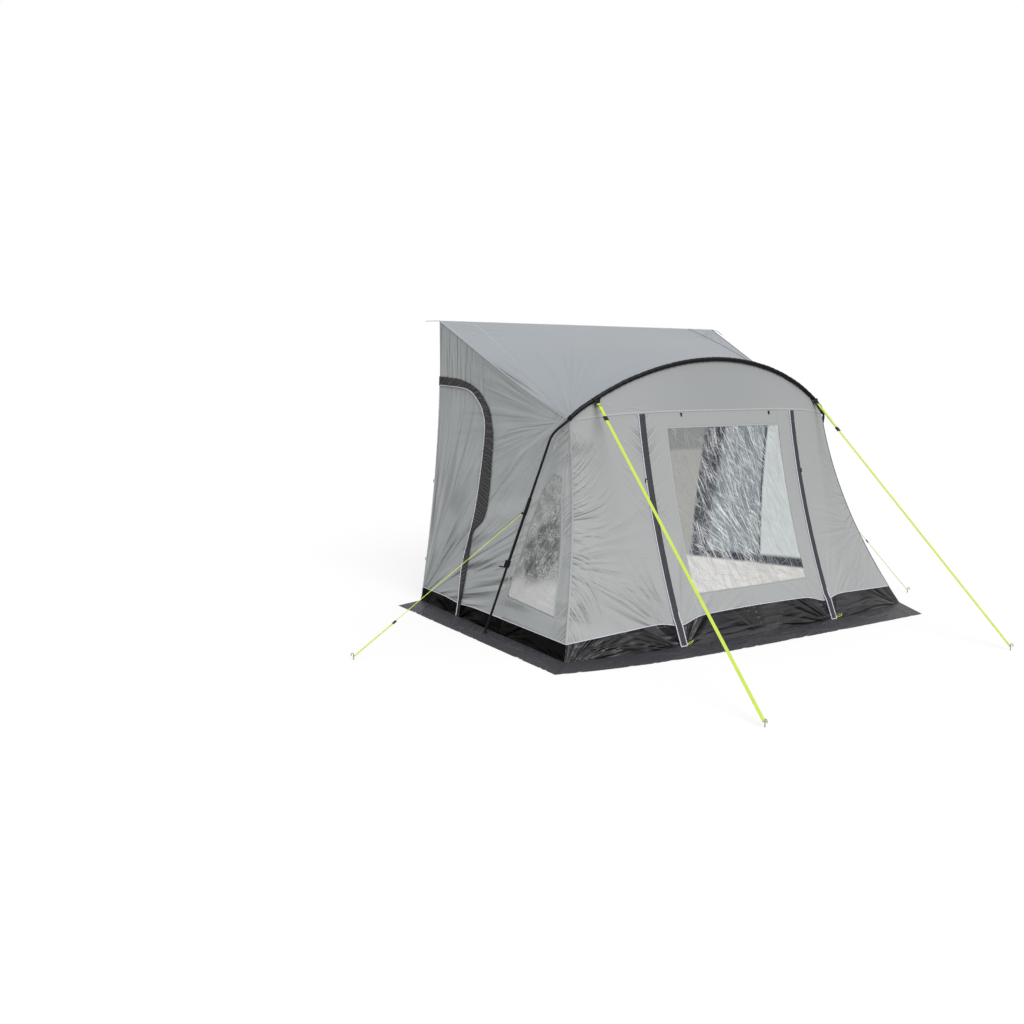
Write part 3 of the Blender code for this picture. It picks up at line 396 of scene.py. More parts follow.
lime_cord = braided_finish("lime_cord", (0.66, 0.86, 0.10))
guy_width, peg_bend = 0.005, 0.0058
guy_routes = {
    "left": ((-1.56182, -0.15984, 0.92814), (-2.90201, -0.1107, 0.022), (-2.9022, -0.1165, 0.022),
             (0.03235, 0.99948, 0), (-0.99948, 0.03235, 0), (-2.60786, -0.1331, 0.22114)),
    "right": ((1.70125, -0.16508, 0.92604), (2.2196, -0.7185, 0.022), (2.2238, -0.7145, 0.022),
              (-0.72465, -0.68911, 0), (0.68911, -0.72465, 0), (1.98388, -0.44987, 0.44776)),
}
for side, route in guy_routes.items():
    start, landing, peg, aside, level, stop = np.array(route)
    turn = np.linspace(0, math.pi, 13)[:, None]
    straight_run = start + np.linspace(0, 1, 60, endpoint=False)[:, None] * (landing - start)
    bend = peg + (aside * np.cos(turn) + level * np.sin(turn)) * peg_bend
    back = bend[-1] + np.linspace(0, 1, 21)[1:, None] * (stop - bend[-1])
    line = np.vstack((straight_run, bend, back))
    guy = drawn("guy_" + side, line, round_outline(guy_width / 2, 12), (0, 0, 1), lime_cord, "tent")
    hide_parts("side_guy_" + side)
    dress(nodes["guy_runner_" + side], black_plastic)
    dress(nodes["guy_peg_" + side], peg_steel)


# Legs. Powder-coated steel tube telescopes in a wider tube, and a cam clamp holds it; a moulded
# collar carries the guy, and a moulded foot plugs into the lower end.

def coated_finish(name, colour):
    """Black powder coat: fine orange peel, and long bright scratches where the tubes slide."""
    made = Finish(name, Metallic=0.0, Specular_IOR_Level=0.25)
    peel = made.object.cloud(260, 2)
    scratch = made.object.placed(size=(0.0045, 0.0045, 0.33)).cloud(1, 3, 0.6).rise(0.66, 0.74)
    made.set(Base_Color=scratch.mixed(colour, (0.10, 0.10, 0.105)), Metallic=scratch * 0.8)
    made.set(Roughness=peel * 0.18 + 0.30)
    return made.set(Normal=peel.relief(0.0003, 0.2))


black_coat = coated_finish("black_coat", (0.006, 0.006, 0.007))
bare_zinc = plated_finish("bare_zinc", (0.60, 0.61, 0.62), 0.3)
for name in ("hoop_left", "hoop_centre", "hoop_right", "leg_outer_left", "leg_outer_right",
             "leg_inner_left", "leg_inner_right"):
    dress(nodes[name], black_coat)
for name in ("leg_collar", "clamp_body", "clamp_lever", "foot"):
    for side in ("left", "right"):
        dress(nodes[name + "_" + side], black_plastic)


# Roof. Satin coated polyester hangs from the rail to the seam under the sleeve, and a gusset is let
# in at each side, where the cloth turns down to the side walls.

rail_x, rail_y, rail_height = 0.0718, 1.3045, 2.420
rail_half, base_half, wall_depth = 1.553, 1.762, 2.234
sleeve_radius, cloth_thickness, weave_pitch = 0.0163, 0.0009, 0.0011
sides = (("left", -1), ("right", 1))


def mix(a, b, share):
    return a + (b - a) * share


def point(x, depth, height):
    """A point of the awning from its distance in front of the rail."""
    return np.stack(np.broadcast_arrays(rail_x + x, rail_y - depth, height), -1).astype(float)


def outside(points):
    """The way out of the room, turning smoothly from wall to wall and up to the roof."""
    side = (points[..., 0] - rail_x) / base_half
    fore = np.minimum(0, 2 * (points[..., 1] - rail_y) / wall_depth + 1)
    rise = np.maximum(0, 2 * points[..., 2] / rail_height - 1)
    return unit(np.stack((side * np.abs(side), fore * np.abs(fore), rise * rise), -1))


def arch(share):
    rise = np.maximum(0, 1 - share * share) ** 0.87
    return point(share * 1.349, mix(1.663, 1.785, rise), mix(1.633, 2.084, rise))


def arch_way(share):
    return unit(arch(np.minimum(1, share + 0.005)) - arch(np.maximum(-1, share - 0.005)))


def ridge(share):
    """The seam under the sleeve."""
    centre, way = arch(share), arch_way(share)
    away = outside(centre)
    away = unit(away - way * (away * way).sum(-1, keepdims=True))
    return centre - away * sleeve_radius


ridge_end_x, ridge_end_y, ridge_end_z = ridge(np.array(1.0))
ridge_end_x -= rail_x
ridge_end_depth = rail_y - ridge_end_y


def eave_slack(side, along):
    size = np.where(np.asarray(side) < 0, 0.040, -0.012)
    return size * 27 / 4 * along * along * (1 - along)


def roof(share, along):
    made = mix(point(share * rail_half, 0, rail_height), ridge(share), np.asarray(along)[..., None])
    made[..., 0] += np.sign(share) * eave_slack(share, along) * np.abs(share) ** 4
    return made


def laid_out(grid):
    """Distances along the rows and down the columns of a grid."""
    across = np.linalg.norm(np.diff(grid, axis=1), axis=2)
    down = np.linalg.norm(np.diff(grid, axis=0), axis=2)
    return (np.pad(np.cumsum(across, 1), ((0, 0), (1, 0))),
            np.pad(np.cumsum(down, 0), ((1, 0), (0, 0))))


def held_flat(grid, reach, hole=None, **reaches):
    """1 over the open cloth and 0 at its sewn edges and hole, with a soft margin between."""
    across, down = laid_out(grid)
    gaps = {"left": across, "right": across[:, -1:] - across, "top": down,
            "bottom": down[-1:] - down}
    made = np.ones(grid.shape[:2])
    if hole:
        r0, r1, c0, c1 = hole
        beside = np.maximum(across[:, c0:c0 + 1] - across, across - across[:, c1:c1 + 1])
        above = np.maximum(down[r0:r0 + 1] - down, down - down[r1:r1 + 1])
        gaps["hole"] = np.hypot(np.maximum(beside, 0), np.maximum(above, 0))
    for edge, gap in gaps.items():
        share = np.clip(gap / reaches.get(edge, reach), 0, 1)
        made = made * share * share * (3 - 2 * share)
    return made


tallest_fold = 0.016


def creased(x, y, lines):
    """Heights of the folds in a cloth. A line is its two ends, half width and height, in metres."""
    x = x + 0.010 * np.sin(4.3 * y + 1.3 * x) + 0.004 * np.sin(17 * y)
    y = y + 0.010 * np.sin(3.9 * x - 0.7 * y) + 0.004 * np.sin(15 * x)
    height = np.zeros_like(x)
    for x0, y0, x1, y1, width, rise in lines:
        dx, dy = x1 - x0, y1 - y0
        length = math.hypot(dx, dy)
        s = ((x - x0) * dx + (y - y0) * dy) / length ** 2
        t = ((x - x0) * dy - (y - y0) * dx) / length / (width * (0.45 + 0.55 * np.clip(s, 0, 1)))
        ends = np.clip(np.minimum(s * 6, (1 - s) * 1.6), 0, 1)
        crest = np.exp(-t * t) - 0.42 * np.exp(-(t / 2.2) ** 2)
        height += rise * ends * ends * (3 - 2 * ends) * crest
    return tallest_fold * np.tanh(height / tallest_fold)


def folded(grid, seen_from, lines, reach, hole=None, **reaches):
    """Heights of the folds over a grid, drawn as seen from above, the front or the side."""
    x, depth, height = grid[..., 0] - rail_x, rail_y - grid[..., 1], grid[..., 2]
    place = {"above": (x, depth), "front": (x, height), "side": (depth, height)}[seen_from]
    return creased(*place, lines) * held_flat(grid, reach, hole, **reaches)


def comb(start, end, way, count, width, rise, seed):
    """Short side-by-side folds whose feet run from start to end and which all lie along way."""
    chance = np.random.default_rng(seed)
    lines = []
    for share in (np.arange(count) + 0.5) / count:
        share = share + chance.uniform(-0.3, 0.3) / count
        x, y = mix(start[0], end[0], share), mix(start[1], end[1], share)
        reach = chance.uniform(0.6, 1.25)
        lean = chance.uniform(-0.15, 0.15)
        lines.append((x, y,
                      x + (way[0] - way[1] * lean) * reach, y + (way[1] + way[0] * lean) * reach,
                      width * chance.uniform(0.7, 1.3), rise * chance.uniform(0.4, 1.15)))
    return lines


def cloth(name, grid, finish, body, node=None, height=0, hole=None, thickness=cloth_thickness,
          held="stretched", facing=outside):
    """A sheet of cloth through a grid of points, raised by its folds, for a node's plain solid."""
    raised = grid + facing(grid) * np.broadcast_to(height, grid.shape[:2])[..., None]
    index = np.arange(grid[..., 0].size).reshape(grid.shape[:2])
    quads = np.stack((index[:-1, :-1], index[1:, :-1], index[1:, 1:], index[:-1, 1:]), -1)
    across, down = laid_out(raised if held == "laid" else grid)
    uv = np.stack((across, -down), -1).reshape(-1, 2)
    cells = np.ones(quads.shape[:2], bool)
    if hole:
        cells[hole[0]:hole[1], hole[2]:hole[3]] = False
    quads = quads[cells]
    a, b, c, d = raised.reshape(-1, 3)[quads[len(quads) // 2]]
    if np.cross(c - a, d - b) @ facing(a) < 0:
        quads = quads[:, ::-1]
    used, packed = np.unique(quads, return_inverse=True)
    quads = packed.reshape(-1, 4)
    piece = sewn_mesh(name, raised.reshape(-1, 3)[used], quads, uv[used][quads])
    thickened(piece, thickness)
    fitted(piece, finish, body)
    flat = (float(across[:, -1].max()), float(down[-1].max()))
    a, b, c, d = (grid.reshape(-1, 3)[used][quads[:, k]] for k in range(4))
    area = float(np.linalg.norm(np.cross(c - a, d - b), axis=1).sum() / 2)
    area = min(max(area, 0.31 * flat[0] * flat[1]), flat[0] * flat[1])
    if node:
        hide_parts(node)


def pull(a, b, centre, count, near, far, seed, way=1):
    """Folds that run out from where the cloth is pulled; way is -1 where they run to lower a."""
    da, db = (a - centre[0]) * way, b - centre[1]
    reach = (da * da + db * db).root()
    turn = db.bearing(da) * count
    crests = turn.place(reach * 0.6, seed).cloud(1, 1, 0.3).ridge(0.36)
    fine = (turn * 2.3).place(reach * 1.5, seed + 9).cloud(1, 1, 0.3).ridge(0.30)
    broken = (turn * 0.35).place(reach * 1.0, seed + 5).cloud(1, 1).rise(0.38, 0.60)
    fade = reach.rise(near * 0.2, near) * reach.rise(far, far * 0.3) * reach.least(0.8)
    return (crests + fine * 0.22) * broken * fade


def cloth_finish(name, colour, roughness=0.62, sheen=0.10, crumple=0.5, grime=0.0, gloss=0.3,
                 folds=None, shade=0.0):
    """Plain-woven polyester: a fine weave, small crumples, uneven colour and dirt low down.

    Its folds are bumps, and painted shade may darken the base colour along the fold lines.
    """
    made = Finish(name, Sheen_Weight=sheen, Sheen_Roughness=0.4, Specular_IOR_Level=gloss)
    u, v = made.uv.part("x"), made.uv.part("y")
    weave = u.wave(weave_pitch) * v.wave(weave_pitch)
    uneven = made.object.cloud(1.3, 4, 0.6)
    fleck = made.object.cloud(38, 3, 0.6)
    tone = uneven * 0.6 + fleck * 0.3 + weave * 0.05 + 0.05
    base = tone.mixed(toned(colour, 0.92), toned(colour, 1.07))
    if grime:
        low = made.object.part("z").rise(0.12, 0.0) * fleck.rise(0.40, 0.80) * grime
        base = low.mixed(base, (0.10, 0.096, 0.092))
    small = made.object.cloud(16, 4, 0.62)
    long = made.object.placed(size=(0.2, 0.2, 0.04)).cloud(1, 3, 0.55)
    normal = (small * 0.6 + long * 0.4).relief(0.012, crumple * 0.35)
    if folds:
        heights = folds(made)
        normal = heights.relief(1.0, 1.0, over=normal)
    # painted shade: the base colour darkens towards a third of itself along the high fold lines
    if shade:
        base = (heights.rise(0.002, 0.020) * shade).mixed(base, toned(colour, 0.3))
    normal = weave.relief(0.00012, 0.35, over=normal)
    return made.set(Base_Color=base, Roughness=fleck * 0.16 + (roughness - 0.08), Normal=normal)


def measures(made):
    """How far a place is to the right of the middle, in front of the rail and above the ground."""
    return made.object.part("x") - rail_x, rail_y - made.object.part("y"), made.object.part("z")


def roof_folds(made):
    """The folds of the roof: pulls from the ends of the hoop and the rail, most in the gussets."""
    x, depth, height = measures(made)
    a, half = x.size(), x.rise(-0.01, 0.01) * 7
    gusset = (a + depth * 0.19).rise(1.50, 1.62) * 0.8 + 0.2
    ends = pull(a, depth, (1.33, 1.66), 10, 0.08, 1.5, half + 61, way=-1) * gusset * 0.040
    rail = pull(a, depth, (1.58, -0.05), 12, 0.10, 0.9, half + 65, way=-1) * 0.022
    return ends + rail


# painted light: the roof cloth is a bluer copy of the wall cloth, and the blue stands in for the
# sky light on it
roof_grey_painted_skylight = cloth_finish("roof_grey_painted_skylight", (0.285, 0.306, 0.326), roughness=0.55, crumple=0.25,
                         folds=roof_folds)

u, v = np.meshgrid(np.linspace(-1, 1, 241), np.linspace(0, 1, 121))
grid = roof(u, v)
lines = [(-1.30, 1.33, -1.10, 1.36, 0.012, 0.004), (-1.32, 1.42, -1.08, 1.47, 0.014, 0.004),
         (-1.30, 1.52, -1.02, 1.58, 0.012, 0.003), (-1.36, 1.18, -1.16, 1.17, 0.012, 0.003),
         (1.30, 1.36, 1.08, 1.40, 0.014, 0.004), (1.31, 1.50, 1.04, 1.57, 0.012, 0.003)]
lines += comb((-1.50, 0.10), (-1.44, 0.60), (0.16, 0.03), 8, 0.010, 0.003, 4)
lines += comb((1.50, 0.10), (1.44, 0.60), (-0.16, 0.03), 8, 0.010, 0.003, 5)
lines += comb((-1.2, 1.70), (1.2, 1.70), (0.02, -0.10), 34, 0.010, 0.0022, 6)
lines += comb((-1.4, 0.02), (1.4, 0.02), (0.01, 0.09), 30, 0.012, 0.0016, 7)
cloth("roof_cloth", grid, roof_grey_painted_skylight, "tent", "roof_panel",
      folded(grid, "above", lines, 0.02), held="hung")


# Seams. Two panels are lapped and sewn with two rows of stitches; the lap shows as a raised band.
# The keder is a cord in a folded strip, and its bare ends run on past the side walls.

def seam_finish(name, colour, width):
    """The folded lap of a seam: the cloth's own colour, with a row of stitches along each side."""
    made = Finish(name, Sheen_Weight=0.15, Specular_IOR_Level=0.35)
    u, v = made.uv.part("x"), made.uv.part("y")
    edge = ((u - width * 0.5).size() - width * 0.32).size().rise(0.0009, 0.0003)
    stitch = edge * (v.wave(0.0042) * 0.5 + 0.5).rise(0.3, 0.5)
    weave = u.wave(weave_pitch) * v.wave(weave_pitch)
    pucker = v.wave(0.023) * made.object.cloud(30, 2)
    made.set(Base_Color=stitch.mixed(colour, toned(colour, 1.5, 0.02)), Roughness=0.6)
    normal = pucker.relief(0.003, 0.35)
    return made.set(Normal=(stitch + weave * 0.2).relief(0.0006, 0.6, over=normal))


def lap_outline(width, thickness):
    """A lap is domed a little and lies on its lower edge."""
    across = np.linspace(-0.5, 0.5, 7)
    top = np.stack((across, 1 - (2 * across) ** 4 * 0.7), -1)[::-1]
    low = np.stack((across, np.zeros(7)), -1)
    return np.vstack((low, top)) * (width, thickness)


def seam(name, path, finish, body, slot, width=0.014, thickness=0.0016, lift=0.0003):
    way = outside(path)
    drawn(name, path + way * lift, lap_outline(width, thickness), way, finish, body)


def welt(name, path, finish, body, radius=0.0035, lift=0.001):
    """A piping of cord in a folded strip, sewn into a seam."""
    way = outside(path)
    drawn(name, path + way * lift, round_outline(radius, 10), way, finish, body)


roof_lap = seam_finish("roof_lap", (0.36, 0.38, 0.40), 0.012)
wall_lap = seam_finish("wall_lap", (0.37, 0.38, 0.38), 0.014)
share = np.linspace(0, 1, 90)
for side, sign in sides:
    line = roof(sign * mix(1.24 / rail_half, 1.0, share), share)
    seam("gusset_seam_" + side, line, roof_lap, "tent", "roof_cloth", width=0.012, lift=0.0006)
    line = roof(np.full(90, sign * 1.0), share)
    seam("eave_seam_" + side, line, roof_lap, "tent", "roof_cloth", width=0.013, lift=0.0004)

pvc_white = moulded_finish("pvc_white", (0.62, 0.62, 0.66), 0.35)
left_end, right_end, bend = (-1.680, 2.414), (1.700, 2.370), 0.55
ends = [left_end, (mix(-rail_half, left_end[0], bend), 2.4185), (-rail_half, rail_height)]
ends += [(x, rail_height) for x in np.linspace(-1.5, 1.5, 60)]
ends += [(rail_half, rail_height), (mix(rail_half, right_end[0], bend), 2.4075), right_end]
line = np.array([(rail_x + x, rail_y + 0.0043, z) for x, z in ends])
keder = drawn("keder", line, round_outline(0.004, 12), (0, 1, 0), pvc_white, "tent")
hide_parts("rail_bead")


# Sleeve. A tunnel of black cloth along the hoop holds it; the cloth is gathered a little by the
# curve, and a hem closes each end round the steel.

satin_black = cloth_finish("satin_black", (0.006, 0.006, 0.008), 0.42, 0.0, crumple=0.9, gloss=0.2)
share = np.linspace(-1, 1, 420)
line = arch(share)
chance = np.random.default_rng(11)
turn = np.arange(24) * 2 * math.pi / 24
ring = np.stack((np.cos(turn), np.sin(turn)), -1)
ripple = np.zeros((420, 24))
for wave in range(26):
    place, reach = chance.uniform(-1, 1), chance.uniform(0.015, 0.05)
    phase = chance.uniform(0, 2 * math.pi)
    near = np.exp(-((share[:, None] - place) / reach) ** 2)
    ripple += 0.0011 * near * np.cos(turn - phase + 26 * share[:, None])
ripple += 0.0007 * np.sin(share[:, None] * 150 + 2 * turn)
radius = sleeve_radius + ripple
radius[np.abs(share) > 0.994] = 0.0166
sleeve = drawn("sleeve", line, ring * radius[..., None], outside(line), satin_black, "tent",
               hollow=cloth_thickness)
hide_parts("arch_sleeve")
for side, sign in sides:
    share = sign * np.linspace(0.985, 1.0, 8)
    line = arch(share)
    drawn("sleeve_hem_" + side, line, round_outline(0.0172, 24), outside(line), black_webbing,
          "tent")

for side, route in strap_routes.items():
    start, end, under = np.array(route)
    ahead = unit(end - start)
    spread = np.linspace(0, 1, 22)
    lift = 0.0035 + 0.004 * (1 - spread) ** 2
    line = start + ahead * (-0.016 + 0.105 * spread)[:, None] - under * lift[:, None]
    widths = mix(0.085, 0.027, np.clip(spread * 2.0, 0, 1) ** 0.7)
    outline = np.stack([flat_outline(width, 0.0018) for width in widths])
    drawn("strap_patch_" + side, line, outline, -under, black_webbing, "tent")
    hang = line[3] + under * 0.004
    for count, drop in enumerate((0.010, 0.032)):
        bpy.ops.object.select_all(action="DESELECT")
        bpy.ops.mesh.primitive_torus_add(
            location=tuple(hang - (0, 0, drop + 0.006)),
            rotation=(math.radians(90), 0, math.radians(35 + 80 * count)),
            major_segments=28, minor_segments=8, major_radius=0.0125, minor_radius=0.0018,
        )
        ring = bpy.context.object
        ring.name = f"strap_ring_{side}_{count + 1}"
        bpy.ops.object.transform_apply(location=True, rotation=True, scale=True)
        bpy.ops.object.shade_smooth()
        fitted(ring, black_plastic, "tent")


# Gable. A crescent of wall cloth fills the arch between the hoop and the head of the front wall, to
# which it is lapped and sewn.

def head(share):
    """The seam between the gable and the front wall."""
    rise = 1 - np.abs(share) ** 4
    return point(share * ridge_end_x, mix(ridge_end_depth, 1.834, rise),
                 mix(ridge_end_z, 1.686, rise))


# painted shade: the gable gets a darker copy of the wall cloth (0.320 against 0.345), for the shade
# on its face that leans down
gable_grey_painted_shade = cloth_finish("gable_grey_painted_shade", (0.320, 0.331, 0.334), roughness=0.60, crumple=0.3)
u, v = np.meshgrid(np.linspace(-0.998, 0.998, 231), np.linspace(0, 1, 45))
grid = mix(ridge(u), head(u), v[..., None])
lines = [(-1.20, 1.70, -0.86, 1.71, 0.010, 0.004), (-1.14, 1.78, -0.95, 1.70, 0.010, 0.004),
         (-0.95, 1.73, -0.60, 1.70, 0.010, 0.004), (1.18, 1.72, 0.86, 1.71, 0.010, 0.004)]
lines += comb((-0.9, 1.69), (0.9, 1.69), (0.02, 0.05), 34, 0.009, 0.0016, 21)
cloth("gable_cloth", grid, gable_grey_painted_shade, "tent", "gable_panel",
      folded(grid, "front", lines, 0.012))
line = head(np.linspace(-0.97, 0.97, 160))
seam("gable_seam", line, wall_lap, "tent", "wall_cloth", lift=0.0006)


# Front wall. Two corner panels stand at the sides of a door that zips out; each is cut with a
# curved foot, and the taut cloth draws in between the hoop and the ground.

draw_in, draw_back, foot_bow, corner_height = 0.086, 0.059, 0.123, 1.625


def corner_half(rise):
    return mix(base_half, ridge_end_x, rise) - draw_in * 4 * rise * (1 - rise)


def corner_depth(rise):
    return mix(wall_depth, ridge_end_depth, rise) - draw_back * 4 * rise * (1 - rise)


def front(share, rise):
    top = head(share)
    bow = 1 - np.abs(share) ** 3
    depth = (1 - rise) * (wall_depth + foot_bow * bow) + rise * (rail_y - top[..., 1])
    return point(share * corner_half(rise), depth - draw_back * 4 * rise * (1 - rise),
                 rise * top[..., 2])


def gathers(away, height, lean, spacing, reach, seed):
    """Short folds along a seam, that lean as they leave it."""
    folds = (away * 2.5).place((height + away * lean) / spacing, seed)
    folds = folds.cloud(1, 1.5, 0.4).ridge(0.15)
    broken = (height * 3.0).place(away, seed + 4).cloud(1, 2).rise(0.38, 0.58)
    return folds * broken * away.rise(reach, reach * 0.05)


def front_folds(made):
    """The folds of the front wall, from the distance to each side of the middle and the height."""
    x, depth, b = measures(made)
    right = x.rise(-0.01, 0.01)
    a, half = x.size(), right * 7
    rise = b / corner_height
    away = (base_half - rise * 0.425 - rise * (1 - rise) * (4 * draw_in) - a).size()
    seam = gathers(away, b, (0.85 - b) * 2.2, 0.040, 0.34, half + 11) * 0.013
    foot = pull(a, b, (0.79, 0.0), 10, 0.08, 0.90, half + 4) * 0.034
    corner = pull(a, b, (1.66, 0.66), 12, 0.15, 1.10, half + 5, way=-1) * 0.018
    corner = corner * b.rise(1.35, 0.8) * a.rise(0.82, 0.95)
    zips = gathers((a - 0.79).size(), b, -1.0, 0.045, 0.17, half + 15) * b.rise(0.55, 1.1) * 0.007
    return (seam + foot + corner + zips) * (1 - right * 0.6)


def fan(origin, first, last, count, width, rise, seed, start=0.02):
    """Lines that spread from a point to evenly spaced places between two others."""
    chance = np.random.default_rng(seed)
    lines = []
    for share in (np.arange(count) + 0.5) / count:
        share = share + chance.uniform(-0.35, 0.35) / count
        tx, ty = mix(first[0], last[0], share), mix(first[1], last[1], share)
        reach = chance.uniform(0.72, 1.0)
        lines.append((mix(origin[0], tx, start), mix(origin[1], ty, start),
                      mix(origin[0], tx, reach), mix(origin[1], ty, reach),
                      width * chance.uniform(0.7, 1.4), rise * chance.uniform(0.35, 1.15)))
    return lines


zip_gap = 0.0006
front_grey = cloth_finish("front_grey", (0.345, 0.358, 0.357), crumple=0.4, grime=0.1,
                          folds=front_folds)
zip_x, flap_half = 0.790, 0.028
mud_left, mud_middle, mud_right = 0.107, 0.200, 0.142


def front_foot(share):
    """The rise of the mud wall's top edge on the front, which dips at each zip's peg."""
    corner = np.where(share < 0, mud_left, mud_right)
    dip = 0.040 * np.exp(-((np.abs(share) * base_half - zip_x) / 0.130) ** 2)
    return (mix(mud_middle, corner, share * share) - dip) / head(share)[..., 2]


def front_at(x, rise):
    return front(x / corner_half(rise), rise)


def foot_at(x):
    rise = np.full(np.shape(x), 0.1)
    for settling in range(5):
        rise = front_foot(x / corner_half(rise))
    return rise


def steps(stations, counts):
    """Numbers that go through the stations, with a count of equal steps between each two."""
    made = [stations[0]]
    for low, high, count in zip(stations, stations[1:], counts):
        made += list(np.linspace(low, high, count + 1)[1:])
    return np.array(made)


for side, sign in sides:
    part, c = np.meshgrid(np.linspace(0, 1, 240), np.linspace(0, 1, 150), indexing="ij")
    share = mix(1, (zip_x + zip_gap) / corner_half(1 - part), c)
    for settling in range(3):
        rise = mix(1, front_foot(sign * share), part)
        share = mix(1, (zip_x + zip_gap) / corner_half(rise), c)
    share = sign * share
    grid = front(share, rise)
    seed = 31 if sign < 0 else 41
    lines = fan((-0.80, 0.06), (-1.66, 0.28), (-1.10, 1.00), 13, 0.022, 0.011, seed)
    lines += comb((-1.44, 1.30), (-1.66, 0.25), (0.20, -0.07), 19, 0.013, 0.0065, seed + 1)
    lines += comb((-1.06, 1.56), (-0.98, 0.95), (0.18, -0.17), 11, 0.011, 0.004, seed + 2)
    lines += fan((-1.66, 0.62), (-0.95, 0.20), (-1.05, 0.95), 11, 0.022, 0.011, seed + 3)
    lines += fan((-1.33, 1.58), (-1.30, 1.1), (-1.0, 1.3), 5, 0.014, 0.005, seed + 4)
    lines += comb((-1.25, 1.665), (-0.85, 1.675), (0.03, -0.10), 9, 0.010, 0.003, seed + 5)
    if sign > 0:
        lines = [(x0, y0, x1, y1, width, rise * 0.55) for x0, y0, x1, y1, width, rise in lines]
        lines += [(-1.04, 1.45, -1.17, 0.55, 0.016, 0.006),
                  (-1.20, 1.40, -1.30, 0.60, 0.014, 0.004)]
    height = creased((grid[..., 0] - rail_x) * -sign, grid[..., 2], lines)
    height *= held_flat(grid, 0.016, right=0.050)
    cloth("front_cloth_" + side, grid, front_grey, "tent", "front_panel_" + side,
          height)
    corner_foot = float(front_foot(np.array(float(sign)))) + 0.003
    line = front(np.full(150, float(sign)), np.linspace(corner_foot, 0.985, 150))
    seam("corner_seam_" + side, line, wall_lap, "tent", "wall_cloth", width=0.016, lift=0.0008)


# Front door. One panel between the zips, with a wide window of clear film let in; it rolls up to
# two toggles on its head.

window_x = (-0.576, 0.615)
rows = steps((0, 0.074, 0.801, 1), (10, 120, 14))
columns = np.concatenate((
    np.linspace(-zip_x + zip_gap, window_x[0], 24)[:-1],
    np.linspace(window_x[0], window_x[1], 129),
    np.linspace(window_x[1], zip_x - zip_gap, 22)[1:],
))
s, x = np.meshgrid(rows, columns, indexing="ij")
low = foot_at(x)
rise = np.where(s <= 0.801, 1 - s, mix(0.199, low, (s - 0.801) / 0.199))
door_grid = front_at(x, rise)
window_cells = (10, 130, 23, 151)
lines = comb((-0.77, 1.30), (-0.77, 0.55), (0.15, 0.10), 13, 0.010, 0.0045, 51)
lines += fan((-0.80, 0.10), (-0.72, 0.62), (-0.30, 0.30), 9, 0.013, 0.006, 52)
lines += fan((0.80, 0.10), (0.74, 0.60), (0.30, 0.30), 9, 0.013, 0.006, 53)
lines += comb((-0.50, 0.20), (0.55, 0.20), (0.03, 0.10), 17, 0.011, 0.0035, 54)
lines += comb((0.77, 1.35), (0.77, 0.55), (-0.11, 0.06), 9, 0.010, 0.003, 55)
lines += comb((-0.70, 1.68), (0.70, 1.68), (0.0, -0.09), 16, 0.010, 0.0022, 56)
cloth("door_cloth", door_grid, front_grey, "front_door", "front_door_panel",
      folded(door_grid, "front", lines, 0.014, window_cells, left=0.050, right=0.050), window_cells)

for side, x in zip(("left", "right"), window_x):
    foot_rise = float(foot_at(np.array([x]))[0])
    line = front_at(np.full(120, x), np.linspace(foot_rise, 0.992, 120))
    seam("door_seam_" + side, line, wall_lap, "front_door", "wall_cloth", width=0.011)
tip = 0.0020
barrel = ((0.0036, 0.0048), (0.0090, 0.0048), (0.0024, 0.0032),
          (0.0024, 0.0048), (0.0090, 0.0048), (0.0036, tip))
for side, x in (("left", -0.424), ("right", 0.508)):
    top = front_at(np.array(x), np.array(0.992))
    out = outside(top)
    centre = top + out * 0.008 + (-0.004, 0, -0.004)
    way = unit(np.array((0.008, 0, -0.030)))
    bpy.ops.object.select_all(action="DESELECT")
    bpy.ops.mesh.primitive_circle_add(vertices=16, radius=tip, fill_type="NGON",
                                      location=tuple(centre),
                                      rotation=(0, math.atan2(way[0], way[2]), 0))
    toggle = bpy.context.object
    toggle.name = "toggle_" + side
    bpy.ops.object.transform_apply(location=True, rotation=True, scale=True)
    bpy.ops.object.mode_set(mode="EDIT")
    bpy.ops.mesh.select_all(action="SELECT")
    radius = tip
    for step, wider in barrel:
        centre = centre + way * step
        bpy.ops.mesh.extrude_region_move(TRANSFORM_OT_translate={"value": tuple(way * step)})
        bpy.ops.transform.resize(value=(wider / radius,) * 3, center_override=tuple(centre))
        radius = wider
    bpy.ops.mesh.select_all(action="SELECT")
    bpy.ops.mesh.normals_make_consistent(inside=False)
    bpy.ops.object.mode_set(mode="OBJECT")
    bpy.ops.object.shade_smooth_by_angle(angle=math.radians(40))
    fitted(toggle, black_plastic, "front_door")
    turn = np.linspace(0, math.pi, 16)[:, None]
    loop = top + out * 0.006 + np.cos(turn) * (0.009, 0, 0) + np.sin(turn) * (0, 0, -0.024)
    drawn("toggle_loop_" + side, loop, round_outline(0.0013, 8), out, black_webbing, "front_door")


# Windows. Clear vinyl film, crinkled from being packed, is welded behind a cloth border; its
# creases are drawn as short pale strokes of painted highlight, and the view behind it is painted on
# as light and shade.

film_thickness, film_back = 0.0006, 0.0012
film_strokes = ((0, 0.0042, 0.80, 0), (0.12, 0.0046, 0.55, 3), (-0.26, 0.0050, 0.40, 6),
                (0.60, 0.0050, 0.12, 9))


